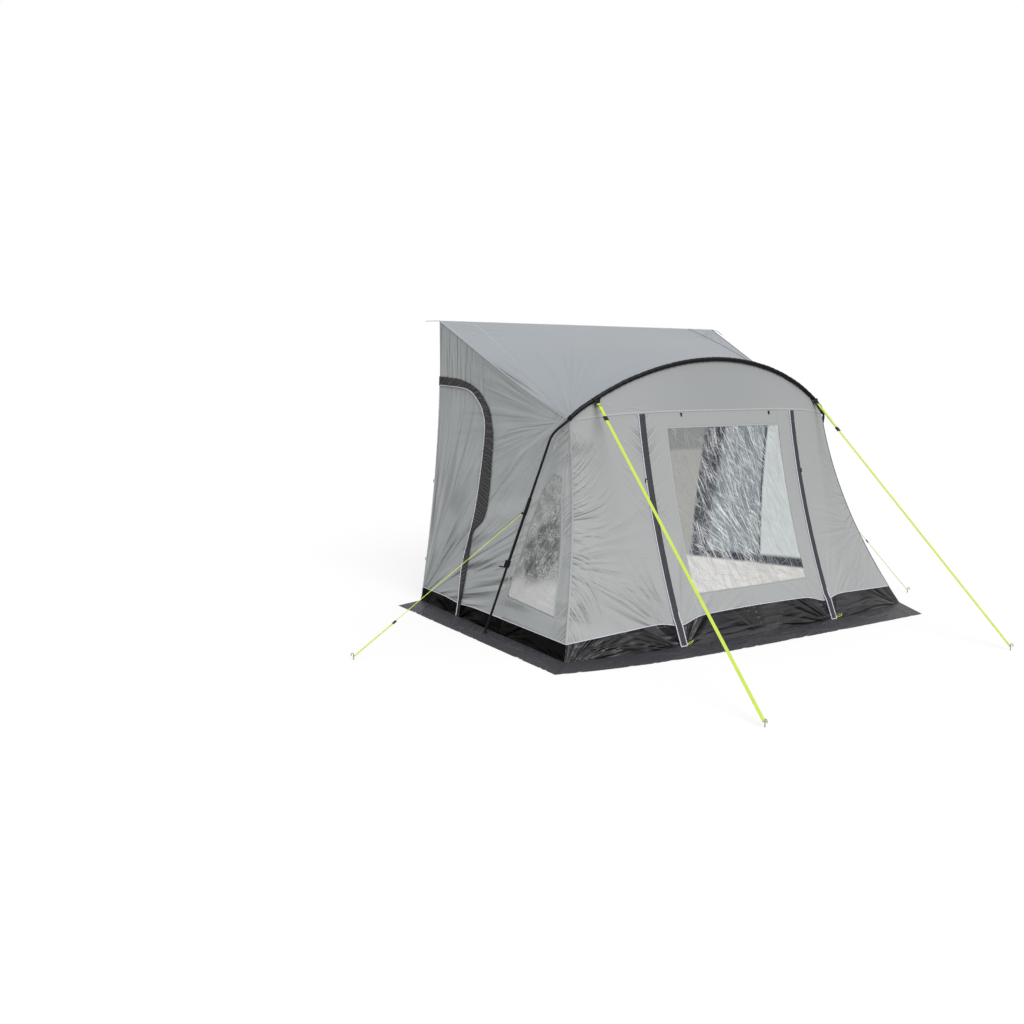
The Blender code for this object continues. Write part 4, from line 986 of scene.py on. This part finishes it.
def film_finish(name, lean, painted_view, pane, pulled, crumpled):
    """Film over a painted view of what lies behind it, with fine creases and a crackle: painted
    highlights over dark areas, painted shade over pale ones.
    """
    made = Finish(name, Specular_IOR_Level=0.55, Coat_Weight=0.3, Coat_Roughness=0.06)
    u, v = made.uv.part("x"), made.uv.part("y")
    base, light = painted_view(made, u / pane[0], v / -pane[1])
    x, y = u - pulled[0], v - pulled[1]
    reach, turn = (x * x + y * y).root(), y.bearing(x)
    spread = (turn * 48).place(reach * 2.5, 2).cloud(1, 1, 0.5).rise(0.585, 0.635)
    spread = spread * (turn * 9).place(reach * 5, 8).cloud(1, 2).rise(0.40, 0.54)
    spread = spread * reach.rise(pane[1], pane[1] * 0.45)
    strokes = 0
    for tilt, width, length, seed in film_strokes:
        streak = made.uv.placed(lean + tilt, (width, length, 1), (seed, seed, 0)).cloud(1, 0, 0.5)
        breaks = made.uv.placed(lean + tilt, (0.045, 0.22, 1), (seed + 1, 2, 0)).cloud(1, 1, 0.5)
        strokes = streak.rise(0.615, 0.655) * breaks.rise(0.47, 0.56) + strokes
    lines = (strokes + spread).least(1)
    cell = (0.016 - 0.005 * crumpled, 0.034 - 0.012 * crumpled, 1)
    cells = made.uv.placed(lean, cell).node_on("TexVoronoi", {"feature": "DISTANCE_TO_EDGE"},
                                               Scale=1.0)
    crackle = cells.rise(0.13, 0.03) * made.uv.cloud(9, 3, 0.6).rise(0.40, 0.54)
    lines = lines * (1 - crumpled * 0.6)
    # painted highlights on the creases and crackle over dark areas, and painted shade on the
    # creases over pale areas
    painted_glints = lines * (1 - light * 0.6) * 0.62 + crackle * (1 - light) * (0.25 + crumpled * 0.25)
    painted_crease_shade = (crackle * 0.12 + strokes + spread * 0.7).least(1) * light * 0.6
    base = painted_crease_shade.mixed(base, (0.10, 0.11, 0.115))
    made.set(Base_Color=(painted_glints.least(1) * 0.85).mixed(base, (0.90, 0.91, 0.91)))
    made.set(Alpha=(lines * 0.2 + 0.84).least(1), Roughness=lines * 0.2 + 0.12)
    wide = made.uv.placed(lean, (0.030, 0.16, 1)).cloud(1, 4, 0.65)
    return made.set(Normal=(wide + lines * 0.3).relief(0.008, 0.6))


def front_painted_view(made, s, t):
    """Painted view through the front film: pale areas of painted light, smoky and navy areas of
    painted shade, and a tone that is 1 over the pale ones.
    """
    navy_shade = (0.010, 0.018, 0.032)
    smoky_shade = made.uv.cloud(3, 3, 0.6).mixed((0.090, 0.115, 0.135), (0.27, 0.31, 0.33))
    left, right = s - (0.33 - t * 0.354), s - (0.897 - t * 0.306)
    upper, lower = t - (s * 0.165 + 0.775), t - (s * 0.19 + 0.825)
    pale = t.rise(0.13, 0.16).mixed((0.215, 0.222, 0.215), (0.345, 0.345, 0.325))
    base = left.rise(-0.012, 0.012).mixed(pale, navy_shade)
    base = (s - (0.50 - t * 0.407)).rise(-0.02, 0.04).mixed(base, smoky_shade)
    base = right.rise(-0.028, -0.012).mixed(base, navy_shade)
    # painted light: the bright right strip, and the bright foot strip below, stand for light behind
    # the film
    base = right.rise(-0.010, 0.012).mixed(base, (0.60, 0.645, 0.65))
    base = (upper.rise(-0.01, 0.02) * left.rise(-0.02, 0.02)).mixed(base, navy_shade)
    light = 1 - left.rise(-0.012, 0.012) + right.rise(-0.010, 0.012)
    light = (light + lower.rise(-0.012, 0.012)).least(1)
    return lower.rise(-0.012, 0.012).mixed(base, (0.70, 0.69, 0.67)), light


def side_painted_view(made, s, t):
    """Painted view through the side film: a darker round patch of painted shade, a brighter foot of
    painted light, and a tone for that light.
    """
    mottle = made.uv.cloud(7, 4, 0.6)
    round_shade = (s - 0.55).size() * 1.0 + (t - 0.60).size() * 1.3 + mottle * 0.12
    round_shade = round_shade.rise(0.62, 0.48)
    base = round_shade.mixed((0.26, 0.27, 0.265), (0.088, 0.094, 0.094))
    foot = (t + s * 0.10 + mottle * 0.08).rise(0.84, 0.98)
    return foot.mixed(base, (0.66, 0.67, 0.66)), foot * 0.5


front_film = film_finish("front_film", 0.30, front_painted_view, (1.191, 1.18), (0.80, -1.22), 0)
side_film = film_finish("side_film", -0.35, side_painted_view, (0.42, 1.0), (0.10, -1.10), 1)
r0, r1, c0, c1 = window_cells
grid = door_grid[r0:r1 + 1, c0:c1 + 1]
lines = fan((0.60, 0.34), (-0.50, 0.40), (0.10, 1.55), 22, 0.016, 0.005, 61)
lines += comb((-0.5, 1.5), (0.5, 1.5), (0.10, -0.32), 14, 0.014, 0.003, 62)
cloth("front_film_pane", grid, front_film, "front_door", "front_window",
      folded(grid, "front", lines, 0.02) - film_back, thickness=film_thickness)


def border(name, grid, finish, body, width=0.012):
    """A welded border round a window, from the four edges of its grid."""
    loop = np.vstack((grid[0], grid[1:, -1], grid[-1, -2::-1], grid[-2::-1, 0]))
    seam(name, loop, finish, body, "wall_cloth", width=width, thickness=0.0013, lift=0.0006)


border("front_window_border", grid, wall_lap, "front_door")


# Side walls. Each has a curved zipped panel at the rear, a plain panel round it, and a narrow panel
# from the leg to the corner with a three-cornered window.

def rear_half(rise):
    spread = np.maximum(0, 1 - rise * rail_height / 2.1) ** 1.7
    return mix(rail_half, base_half, spread)


def wall(sign, along, rise):
    half = (1 - rise) * base_half + rise * mix(rail_half, ridge_end_x, along)
    half = half + (1 - along) * (rear_half(rise) - mix(base_half, rail_half, rise))
    half = half + along * (corner_half(rise) - mix(base_half, ridge_end_x, rise))
    half = half + eave_slack(sign, along) * rise ** 4
    return point(sign * half, along * corner_depth(rise),
                 rise * mix(rail_height, ridge_end_z, along))


def wall_foot(sign, along):
    """The rise of the mud wall's top edge on a side."""
    dip = 0.014 * np.exp(-((along - 0.30) / 0.07) ** 2)
    corner = mud_left if sign < 0 else mud_right
    return (mix(0.118, corner, along) - dip) / mix(rail_height, ridge_end_z, along)


def leg_seam(rise):
    return np.interp(rise, (0, 0.166, 0.620, 0.815, 0.915, 1.0),
                     (0.604, 0.611, 0.753, 0.894, 0.958, 1.0))


def smooth_line(pairs, count):
    """Evenly spread points on a smooth curve through pairs of shares."""
    pairs = np.array(pairs)
    padded = np.vstack((2 * pairs[0] - pairs[1], pairs, 2 * pairs[-1] - pairs[-2]))
    place = np.linspace(0, len(pairs) - 1, count)
    first = np.minimum(place.astype(int), len(pairs) - 2)
    t = (place - first)[:, None]
    p0, p1, p2, p3 = (padded[first + k] for k in range(4))
    square, cube = 2 * p0 - 5 * p1 + 4 * p2 - p3, 3 * p1 - p0 - 3 * p2 + p3
    return 0.5 * (2 * p1 + (p2 - p0) * t + square * t ** 2 + cube * t ** 3)


zip_line = (
    (0.0, 0.773), (0.058, 0.786), (0.098, 0.795), (0.144, 0.806), (0.185, 0.815),
    (0.238, 0.825), (0.285, 0.827), (0.319, 0.819), (0.347, 0.808), (0.369, 0.793),
    (0.388, 0.760), (0.392, 0.712), (0.376, 0.589), (0.354, 0.443), (0.340, 0.372),
    (0.327, 0.324), (0.308, 0.257), (0.292, 0.187), (0.292, 0.119), (0.298, 0.051),
)
flap_line = (
    (0.0, 0.804), (0.064, 0.819), (0.110, 0.829), (0.163, 0.841), (0.210, 0.849),
    (0.269, 0.855), (0.322, 0.855), (0.362, 0.849), (0.401, 0.831), (0.431, 0.809),
    (0.449, 0.766), (0.458, 0.710), (0.452, 0.607), (0.439, 0.449), (0.408, 0.377),
    (0.351, 0.327), (0.339, 0.260), (0.333, 0.190), (0.327, 0.120), (0.319, 0.052),
)
eave_stations = (0.0, 0.14, 0.28, 0.42, 0.55, 0.67, 0.78, 0.87, 0.94, 1.0)
rise_stations = (0.963, 0.926, 0.82, 0.7165, 0.58, 0.44, 0.30, 0.199, 0.144)
stretch = 320
zips = smooth_line(zip_line, stretch)
flaps = smooth_line(flap_line, stretch)
outer_pairs = [(along, 1) for along in eave_stations]
outer_pairs += [(float(leg_seam(rise)), rise) for rise in rise_stations]
outer_pairs.append((0.6076, 0.05))
place = np.linspace(0, 19, stretch)
outer = np.stack([np.interp(place, np.arange(20), np.array(outer_pairs)[:, k]) for k in (0, 1)], -1)


def wall_lines(seed, strength):
    """Folds of a side wall, in depth and height: pulls from the hoop's end and the rear foot."""
    lines = fan((1.60, 1.62), (0.04, 0.62), (0.30, 0.10), 12, 0.026, 0.009 * strength, seed)
    lines += fan((1.60, 1.60), (0.30, 0.08), (1.30, 0.10), 15, 0.022, 0.009 * strength, seed + 1)
    lines += fan((0.0, 0.06), (0.22, 1.90), (1.25, 1.10), 16, 0.026, 0.014 * strength, seed + 2)
    lines += fan((1.62, 1.60), (0.72, 1.60), (0.55, 1.25), 6, 0.015, 0.004 * strength, seed + 3)
    lines += comb((0.05, 2.36), (0.62, 2.13), (0.05, -0.27), 17, 0.009, 0.006 * strength, seed + 4)
    lines += comb((0.70, 2.09), (1.45, 1.74), (0.01, -0.09), 14, 0.009, 0.003 * strength, seed + 5)
    lines += comb((0.02, 0.45), (0.02, 1.9), (0.12, 0.10), 14, 0.010, 0.003 * strength, seed + 6)
    lines += comb((0.95, 1.50), (1.0, 0.9), (0.16, 0.10), 8, 0.010, 0.003 * strength, seed + 7)
    return lines


def side_folds(made):
    """The folds of a side wall, from its distance in front of the rail and its height."""
    x, a, b = measures(made)
    rise = b / corner_height
    away = (wall_depth - rise * 0.579 - rise * (1 - rise) * (4 * draw_back) - a).size()
    seam = gathers(away, b, 0.8, 0.034, 0.26, 21) * 0.010
    foot = pull(a, b, (-0.02, 0.02), 13, 0.15, 2.4, 1) * 0.060
    hoop = pull(a, b, (1.63, 1.62), 12, 0.10, 1.7, 2, way=-1) * 0.011
    pleats = (a * 15).place(b * 1.1, 3.0).cloud(1, 1.5, 0.4).ridge(0.2)
    pleats = pleats * (b + a * 0.45).rise(1.70, 2.25) * a.rise(0.95, 0.35) * 0.013
    return foot + hoop + pleats + seam


def level_creases(made):
    """Low creases that run along a mud wall."""
    return made.object.placed(size=(0.34, 0.34, 0.055)).cloud(1, 1, 0.5).ridge(0.30) * 0.008


def side_mud_folds(made):
    """The folds of the side mud walls: pulls from the pegs beside the leg and the zip."""
    x, a, b = measures(made)
    leg = pull(a, b, (1.35, -0.03), 6, 0.06, 0.60, 51) * 0.09
    zips = pull(a, b, (0.67, -0.03), 6, 0.06, 0.55, 57) * 0.09
    return leg + zips + level_creases(made)


# painted light: the side walls get a lighter copy of the front wall cloth (0.400 against 0.345),
# standing in for light that the sides lack
side_grey_painted_light = cloth_finish("side_grey_painted_light", (0.400, 0.420, 0.422), crumple=0.4, grime=0.1,
                         folds=side_folds)
# painted shade: the side mud walls get a much darker copy of the mud cloth (0.002 against 0.024),
# standing in for the shade on the sides
side_mud_painted_shade = cloth_finish("side_mud_painted_shade", (0.002, 0.002, 0.0022), 0.34, 0.0, 0.4, gloss=0.04,
                        folds=side_mud_folds)


def flap_folds(made):
    """Close slanting gathers along a zip cover."""
    u, v = made.uv.part("x"), made.uv.part("y")
    slant = v + u * 1.3 + made.uv.cloud(6, 2) * 0.05
    return slant.wave(0.030) * made.uv.cloud(9, 2).rise(0.36, 0.60) * 0.0032


side_black = cloth_finish("side_black", (0.008, 0.008, 0.009), 0.30, 0.0, 0.3, gloss=0.8,
                          folds=flap_folds)
pipe_lilac = seam_finish("pipe_lilac", (0.60, 0.59, 0.68), 0.020)
ground_gap, foot_kick, piping_lift = 0.004, 0.012, 0.0022
for side, sign in sides:
    strength = 1.0 if sign < 0 else 0.85
    lines = wall_lines(71 if sign < 0 else 91, strength)
    for line in (zips, flaps, outer):
        line[-1, 1] = wall_foot(sign, line[-1, 0])

    # the plain panel, whose inner edge follows the zip
    across = steps((0, 0.06, 1), (6, 124))
    pairs = np.where(across[None, :, None] <= 0.06,
                     mix(zips[:, None], flaps[:, None], across[None, :, None] / 0.06),
                     mix(flaps[:, None], outer[:, None], (across[None, :, None] - 0.06) / 0.94))
    grid = wall(sign, pairs[..., 0], pairs[..., 1])
    cloth("side_cloth_" + side, grid, side_grey_painted_light, "tent", "side_wall_" + side,
          folded(grid, "side", lines, 0.016, left=0.15))

    # the zipped panel, and the strip of mud wall under it
    edge = smooth_line(zip_line[9:], 200)
    edge[-1, 1] = wall_foot(sign, edge[-1, 0])
    top = smooth_line(zip_line[:10], 120)
    fall = ((top[-1, 1] - edge[:, 1]) / (top[-1, 1] - edge[-1, 1]))[:, None]
    share = (top[:, 0] / top[-1, 0])[None, :]
    along = mix(top[None, :, 0], share * edge[-1, 0], fall)
    along = along + share * (edge[:, 0:1] - mix(top[-1, 0], edge[-1, 0], fall))
    rise = mix(top[None, :, 1], wall_foot(sign, share * edge[-1, 0]), fall)
    grid = wall(sign, along, rise)
    body = "side_door_" + side
    cloth("side_door_cloth_" + side, grid, side_grey_painted_light, body, body,
          folded(grid, "side", lines, 0.014))
    rear_edge = grid[:, 0]
    foot_edge = grid[-1]
    along, part = np.meshgrid(np.linspace(0, edge[-1, 0], 110), np.linspace(1, 0, 26))
    grid = wall(sign, along, wall_foot(sign, along) * part)
    grid[..., 2] = np.maximum(grid[..., 2], ground_gap)
    lines_low = comb((0.02, 0.01), (0.60, 0.01), (0.03, 0.09), 12, 0.009, 0.006, 85)
    lines_low += fan((0.66, 0.0), (0.56, 0.11), (0.30, 0.10), 5, 0.010, 0.008, 86)
    height = folded(grid, "side", lines_low, 0.012, right=0.040)
    height += foot_kick * (1 - part) ** 5
    cloth("side_door_mud_" + side, grid, side_mud_painted_shade, body, height=height)
    hem = np.vstack((rear_edge, grid[1:, 0]))
    welt("rear_hem_" + side, hem, pipe_lilac, body)
    welt("side_door_piping_" + side, foot_edge, pipe_lilac, body, lift=piping_lift)

    # the panel from the leg to the corner, with its window
    rows = steps((0.998, 0.926, 0.7165, 0.144, 0.0), (12, 34, 88, 10))
    low_rise = float(wall_foot(sign, 0.8))
    rows = np.where(rows >= 0.144, rows, mix(0.144, low_rise, (0.144 - rows) / 0.144))
    station = (0, 1, 4, 5)
    spread = steps(station, (34, 46, 24))
    known = (low_rise, 0.144, 0.199, 0.30, 0.44, 0.58, 0.7165, 1.0)
    rear_shares = np.interp(rows, known, (0.049, 0.049, 0.049, 0.074, 0.107, 0.198, 0.328, 0.395))
    fore_shares = np.interp(rows, known, (0.800, 0.800, 0.800, 0.803, 0.787, 0.749, 0.680, 0.463))
    rear_edge = leg_seam(rows)
    low_edge, high_edge = mix(rear_edge, 1, rear_shares), mix(rear_edge, 1, fore_shares)
    columns = np.stack((rear_edge, low_edge, high_edge, np.ones_like(rows)), -1)
    along = np.stack([np.interp(spread, station, values) for values in columns])
    rise = np.broadcast_to(rows[:, None], along.shape).copy()
    rise[-1] = wall_foot(sign, along[-1])
    grid = wall(sign, along, rise)
    cells = (46, 134, 34, 80)
    more = comb((1.42, 0.16), (2.10, 0.16), (-0.01, 0.13), 11, 0.010, 0.006, 81)
    more += comb((1.88, 1.40), (2.13, 0.35), (-0.06, -0.02), 22, 0.008, 0.005, 82)
    more += comb((1.72, 1.48), (1.62, 1.05), (0.02, -0.20), 5, 0.012, 0.004, 83)
    more += fan((1.70, 1.60), (1.66, 1.15), (1.88, 1.0), 6, 0.010, 0.004, 84)
    cloth("corner_cloth_" + side, grid, side_grey_painted_light, "tent",
          "side_window_panel_" + side, folded(grid, "side", more, 0.012, cells), cells)
    pane = grid[cells[0]:cells[1] + 1, cells[2]:cells[3] + 1]
    more = fan((2.05, 0.3), (1.45, 0.3), (1.7, 1.1), 12, 0.016, 0.004, 85)
    cloth("side_film_pane_" + side, pane, side_film, "tent", "side_window_" + side,
          folded(pane, "side", more, 0.02) - film_back, thickness=film_thickness)
    border("side_window_border_" + side, pane, wall_lap, "tent")
    rise = np.linspace(0.09, 0.985, 140)
    seam("leg_seam_" + side, wall(sign, leg_seam(rise), rise), wall_lap, "tent", "wall_cloth")

    # the black flap over the zip, gathered where it turns
    across = np.linspace(0, 1, 15)
    pairs = mix(zips[:, None], flaps[:, None], across[None, :, None])
    grid = wall(sign, pairs[..., 0], pairs[..., 1])
    tail = np.linspace(1, 0.04, 14)[1:, None]
    low = np.stack((np.broadcast_to(pairs[-1, :, 0], (13, 15)), pairs[-1, :, 1] * tail), -1)
    grid = np.vstack((grid, wall(sign, low[..., 0], low[..., 1])))
    grid = grid + outside(grid) * 0.0080
    across_run, down_run = laid_out(grid)
    turned = np.exp(-((down_run - 1.05) / 0.40) ** 2) * 0.8 + 0.35
    slant = (down_run * 1.0 - across_run * 1.4) * 95
    height = 0.0040 * np.sin(slant + 1.5 * np.sin(down_run * 13)) * turned
    height *= held_flat(grid, 0.010, top=0.0001, bottom=0.0001)
    cloth("side_flap_" + side, grid, side_black, "tent", "side_zip_flap_" + side,
          height)
    welt("side_flap_piping_" + side, grid[3:, 0], pipe_lilac, "tent", radius=0.0036)

    # loops of webbing on the rear edge, for ties to the rail side
    for count, share in enumerate((0.36, 0.76)):
        spot = hem[int(share * (len(hem) - 1))]
        turn = np.linspace(-1.2, 1.2, 14)[:, None]
        line = spot + (0, 0.004, 0) + np.cos(turn) * (0, 0.014, 0) + np.sin(turn) * (0, 0, 0.012)
        drawn(f"rear_loop_{side}_{count + 1}", line, flat_outline(0.010, 0.0014), (1, 0, 0),
              black_webbing, body)


# Front zip covers. A long strip of dark cloth lies over each front zip, piped along its outer edge,
# and ends at a peg loop on the ground.

flap_grey = cloth_finish("flap_grey", (0.050, 0.049, 0.056), 0.5, 0.0, crumple=0.8, gloss=0.15)
for side, sign in sides:
    x, s = np.meshgrid(sign * zip_x + np.linspace(-flap_half, flap_half, 11),
                       np.linspace(0, 1, 240))
    rise = mix(0.993, 0.003, s)
    grid = front_at(x, rise)
    over_mud = np.clip((0.19 - grid[..., 2]) / 0.04, 0, 1)
    grid = grid + outside(grid) * (0.0036 + 0.0110 * over_mud)[..., None]
    across_run, down_run = laid_out(grid)
    height = 0.0014 * np.sin(down_run * 31 + 3 * np.sin(down_run * 5)) * np.cos(across_run * 90)
    height += 0.0020 * np.sin(across_run / (2 * flap_half) * math.pi)
    cloth("front_flap_" + side, grid, flap_grey, "front_door",
          "front_zip_flap_" + side, height)
    line = np.vstack((grid[:, 0], grid[-1, 1:-1], grid[:205:-1, -1]))
    welt("front_flap_piping_" + side, line, pipe_lilac, "front_door", radius=0.0042)
    spot = grid[int(0.285 * 239), 0 if sign < 0 else -1]
    line = spot + np.linspace(0, 1, 12)[:, None] * (sign * 0.004, -0.002, -0.034)
    line = line + outside(spot) * 0.005
    drawn("flap_tab_" + side, line, flat_outline(0.012, 0.003), outside(spot), black_webbing,
          "front_door")
    foot = grid[-1, -1] + outside(grid[-1, -1]) * 0.006
    turn = np.linspace(0, 5.6, 30)[:, None]
    loop = np.cos(turn) * (-0.020, 0, -0.012) + np.sin(turn) * (0.004, -0.016, 0.008)
    loop = foot + (0.020, -0.004, 0.022) + loop
    drawn("foot_tie_" + side, loop, round_outline(0.0022, 8), (0, 0, 1), lime_cord, "front_door")


# Zips. A nylon coil on a black tape runs up the room side of each edge that opens, and the two
# coils meet under the cover.

def coil_finish(name):
    """Zip tape: a woven ground, and the turns of the coil along its middle."""
    made = Finish(name, Specular_IOR_Level=0.35, Roughness=0.45)
    u, v = made.uv.part("x"), made.uv.part("y")
    middle = (u - 0.007).size().rise(0.0030, 0.0022)
    turns = v.wave(0.0022) * 0.5 + 0.5
    weave = u.wave(0.0012) * v.wave(0.0012)
    made.set(Base_Color=(turns * middle).mixed((0.007, 0.007, 0.008), (0.030, 0.030, 0.033)))
    return made.set(Normal=(turns * middle + weave * 0.2).relief(0.0006, 0.8))


zip_coil = coil_finish("zip_coil")
tape_outline, tape_back, tape_apart = flat_outline(0.014, 0.0013), 0.0030, 0.0085
for side, sign in sides:
    share = np.linspace(0, 1, 160)
    for body, gap in (("tent", tape_apart), ("front_door", -tape_apart)):
        x = np.full(160, sign * (zip_x + gap))
        line = front_at(x, mix(0.990, foot_at(x) * 0.06, share))
        drawn(f"front_zip_{side}_{body}", line - outside(line) * tape_back, tape_outline,
              -outside(line), zip_coil, body)
    edge = wall(sign, zips[:, 0], zips[:, 1])
    toward = unit(wall(sign, flaps[:, 0], flaps[:, 1]) - edge)
    for body, gap in (("tent", tape_apart), ("side_door_" + side, -tape_apart)):
        line = edge + toward * gap
        line = (line - outside(line) * tape_back)[4:-1]
        drawn(f"side_zip_{side}_{body}", line, tape_outline, -outside(line), zip_coil, body)


# Mud walls. A band of heavier satin cloth is sewn along the foot of every wall, with a piping in
# the seam along its top; pegs at the zips' feet and at the corners pull it into folds.

def mud_folds(made):
    """The folds of the front mud walls: pulls from the zips' pegs, and creases between them."""
    x, depth, b = measures(made)
    half = x.rise(-0.01, 0.01) * 7
    feet = pull(x.size(), b, (0.79, -0.03), 6, 0.06, 0.70, half + 24) * 0.14
    middle = pull(x, b, (0.04, -0.06), 4, 0.16, 0.70, 31) * 0.065 * x.size().rise(0.7, 0.5)
    corner = pull(x.size(), b, (1.76, -0.03), 7, 0.06, 0.75, half + 41, way=-1) * 0.11
    return feet + middle + corner + level_creases(made)


# painted light and shade: this front copy of the mud cloth is lighter than the side copy, for the
# light on the front, and its fold lines get painted shade (shade=0.85)
mud_black = cloth_finish("mud_black", (0.024, 0.023, 0.027), 0.34, 0.0, 0.5, grime=0.3, gloss=0.50,
                         folds=mud_folds, shade=0.85)
spans = {"left": (-1, "tent"), "door": (0, "front_door"), "right": (1, "tent")}
for name, (sign, body) in spans.items():
    if sign:
        c, part = np.meshgrid(np.linspace(0, 1, 250), np.linspace(1, 0, 50))
        share = mix(1, (zip_x + zip_gap) / corner_half(0.1), c)
        for settling in range(5):
            rise = front_foot(sign * share) * part
            share = mix(1, (zip_x + zip_gap) / corner_half(rise), c)
        grid = front(sign * share, rise)
    else:
        x, part = np.meshgrid(np.linspace(-zip_x + zip_gap, zip_x - zip_gap, 400),
                              np.linspace(1, 0, 50))
        rise = foot_at(x)
        for settling in range(5):
            rise = front_foot(x / corner_half(rise)) * part
        grid = front_at(x, rise)
        grid[..., 2] = np.maximum(grid[..., 2], ground_gap)
    lines = []
    for x0 in (-zip_x, zip_x):
        lines += fan((x0, -0.02), (x0 - 0.34, 0.20), (x0 + 0.34, 0.20), 9, 0.015, 0.006, 101,
                     start=0.15)
        lines += fan((x0, 0.02), (x0 - 0.60, 0.10), (x0 - 0.55, 0.02), 4, 0.013, 0.008, 102)
        lines += fan((x0, 0.02), (x0 + 0.60, 0.10), (x0 + 0.55, 0.02), 4, 0.013, 0.008, 103)
    lines += fan((-1.74, 0.0), (-1.50, 0.15), (-1.20, 0.03), 7, 0.012, 0.010, 105)
    lines += fan((1.75, -0.01), (1.45, 0.15), (1.15, 0.06), 8, 0.013, 0.011, 106)
    lines += [(-1.60, 0.075, -1.05, 0.045, 0.016, 0.011), (-1.30, 0.04, -0.85, 0.06, 0.014, 0.009),
              (-0.62, 0.05, -0.15, 0.10, 0.016, 0.011), (-0.45, 0.03, 0.20, 0.055, 0.015, 0.010),
              (0.15, 0.05, 0.60, 0.03, 0.014, 0.009), (0.95, 0.05, 1.40, 0.04, 0.014, 0.008)]
    ends = {"right": 0.045} if sign else {"left": 0.045, "right": 0.045}
    height = folded(grid, "front", lines, 0.010, **ends)
    if not sign:
        height += foot_kick * (1 - part) ** 5
    cloth("mud_front_" + name, grid, mud_black, body, "mud_wall_front_" + name,
          height)
    welt("mud_piping_" + name, grid[0], pipe_lilac, body, lift=piping_lift)
for side, sign in sides:
    along, part = np.meshgrid(np.linspace(0.2985, 1.0, 190), np.linspace(1, 0, 28))
    grid = wall(sign, along, wall_foot(sign, along) * part)
    lines = fan((2.22, -0.01), (1.90, 0.14), (1.45, 0.08), 9, 0.011, 0.010, 111)
    lines += fan((0.67, -0.01), (0.72, 0.13), (1.10, 0.10), 7, 0.010, 0.008, 112)
    lines += comb((0.75, 0.01), (2.1, 0.01), (0.05, 0.09), 16, 0.010, 0.004, 113)
    height = folded(grid, "side", lines, 0.010, left=0.060)
    cloth("mud_side_" + side, grid, side_mud_painted_shade, "tent", "mud_wall_side_" + side,
          height)
    welt("mud_side_piping_" + side, grid[0], pipe_lilac, "tent", lift=piping_lift)


# Ground skirts. Strips of dull vinyl film keep out the draught; they lie on the ground in shallow
# folds, mitred at the left corner and tucked in under the right wall.

skirt_vinyl = cloth_finish("skirt_vinyl", (0.040, 0.038, 0.046), 0.42, 0.0, crumple=1.6, grime=0.3)


def upward(points):
    return np.broadcast_to((0.0, 0.0, 1.0), points.shape)


def skirt(name, inner, outer, seed):
    rows = np.linspace(0, 1, 34)[:, None, None]
    grid = mix(inner[None], outer[None], rows)
    x, y = grid[..., 0], grid[..., 1]
    chance = np.random.default_rng(seed)
    height = np.zeros(grid.shape[:2])
    for fold in range(120):
        cx, cy = grid[chance.integers(34), chance.integers(grid.shape[1]), :2]
        turn = chance.uniform(0, math.pi)
        reach, width = chance.uniform(0.05, 0.16), chance.uniform(0.006, 0.014)
        a = (x - cx) * math.cos(turn) + (y - cy) * math.sin(turn)
        b = -(x - cx) * math.sin(turn) + (y - cy) * math.cos(turn)
        height += chance.uniform(0.001, 0.008) * np.exp(-(a / reach) ** 2 - (b / width) ** 2)
    across, down = laid_out(grid)
    ends = np.clip(np.minimum(across, across[:, -1:] - across) / 0.10, 0.02, 1)
    height = 0.0013 + height * (0.1 + 0.9 * np.clip(rows[..., 0] * 8, 0, 1)) * ends
    cloth("skirt_" + name, grid, skirt_vinyl, "tent", "ground_skirt_" + name, height,
          thickness=0.0010, held="laid", facing=upward)


share = np.linspace(-1, 1, 260)
inner = front(share, np.zeros(260)) - (0, 0.0003, 0)
bow = 1 - np.abs(share) ** 3
end_half = np.where(share < 0, 1.974, 1.559)
end_depth = np.where(share < 0, 2.436, 2.609)
outer = point(share * end_half, mix(end_depth, 2.6173, bow), 0)
skirt("front", inner, outer, 121)
share = np.linspace(0, 1, 170)
inner = point(-base_half - 0.0003, wall_depth * share, 0)
outer = point(-mix(2.020, 1.974, share) - 0.0003, mix(0.085, 2.436, share), 0)
skirt("left", inner, outer, 122)
inner = point(1.759, mix(0.090, 2.144, share), 0)
outer = point(1.509, mix(0.090, 2.144, share), 0)
skirt("right", inner, outer, 123)


# Zip sliders. Cast zinc, with a puller that hangs from the nose; they sit on the room side of each
# zip, and their shapes are the solids' own.

for side, sign in sides:
    dress(nodes["front_zip_slider_" + side], bare_zinc)
    dress(nodes["side_zip_slider_" + side], bare_zinc)
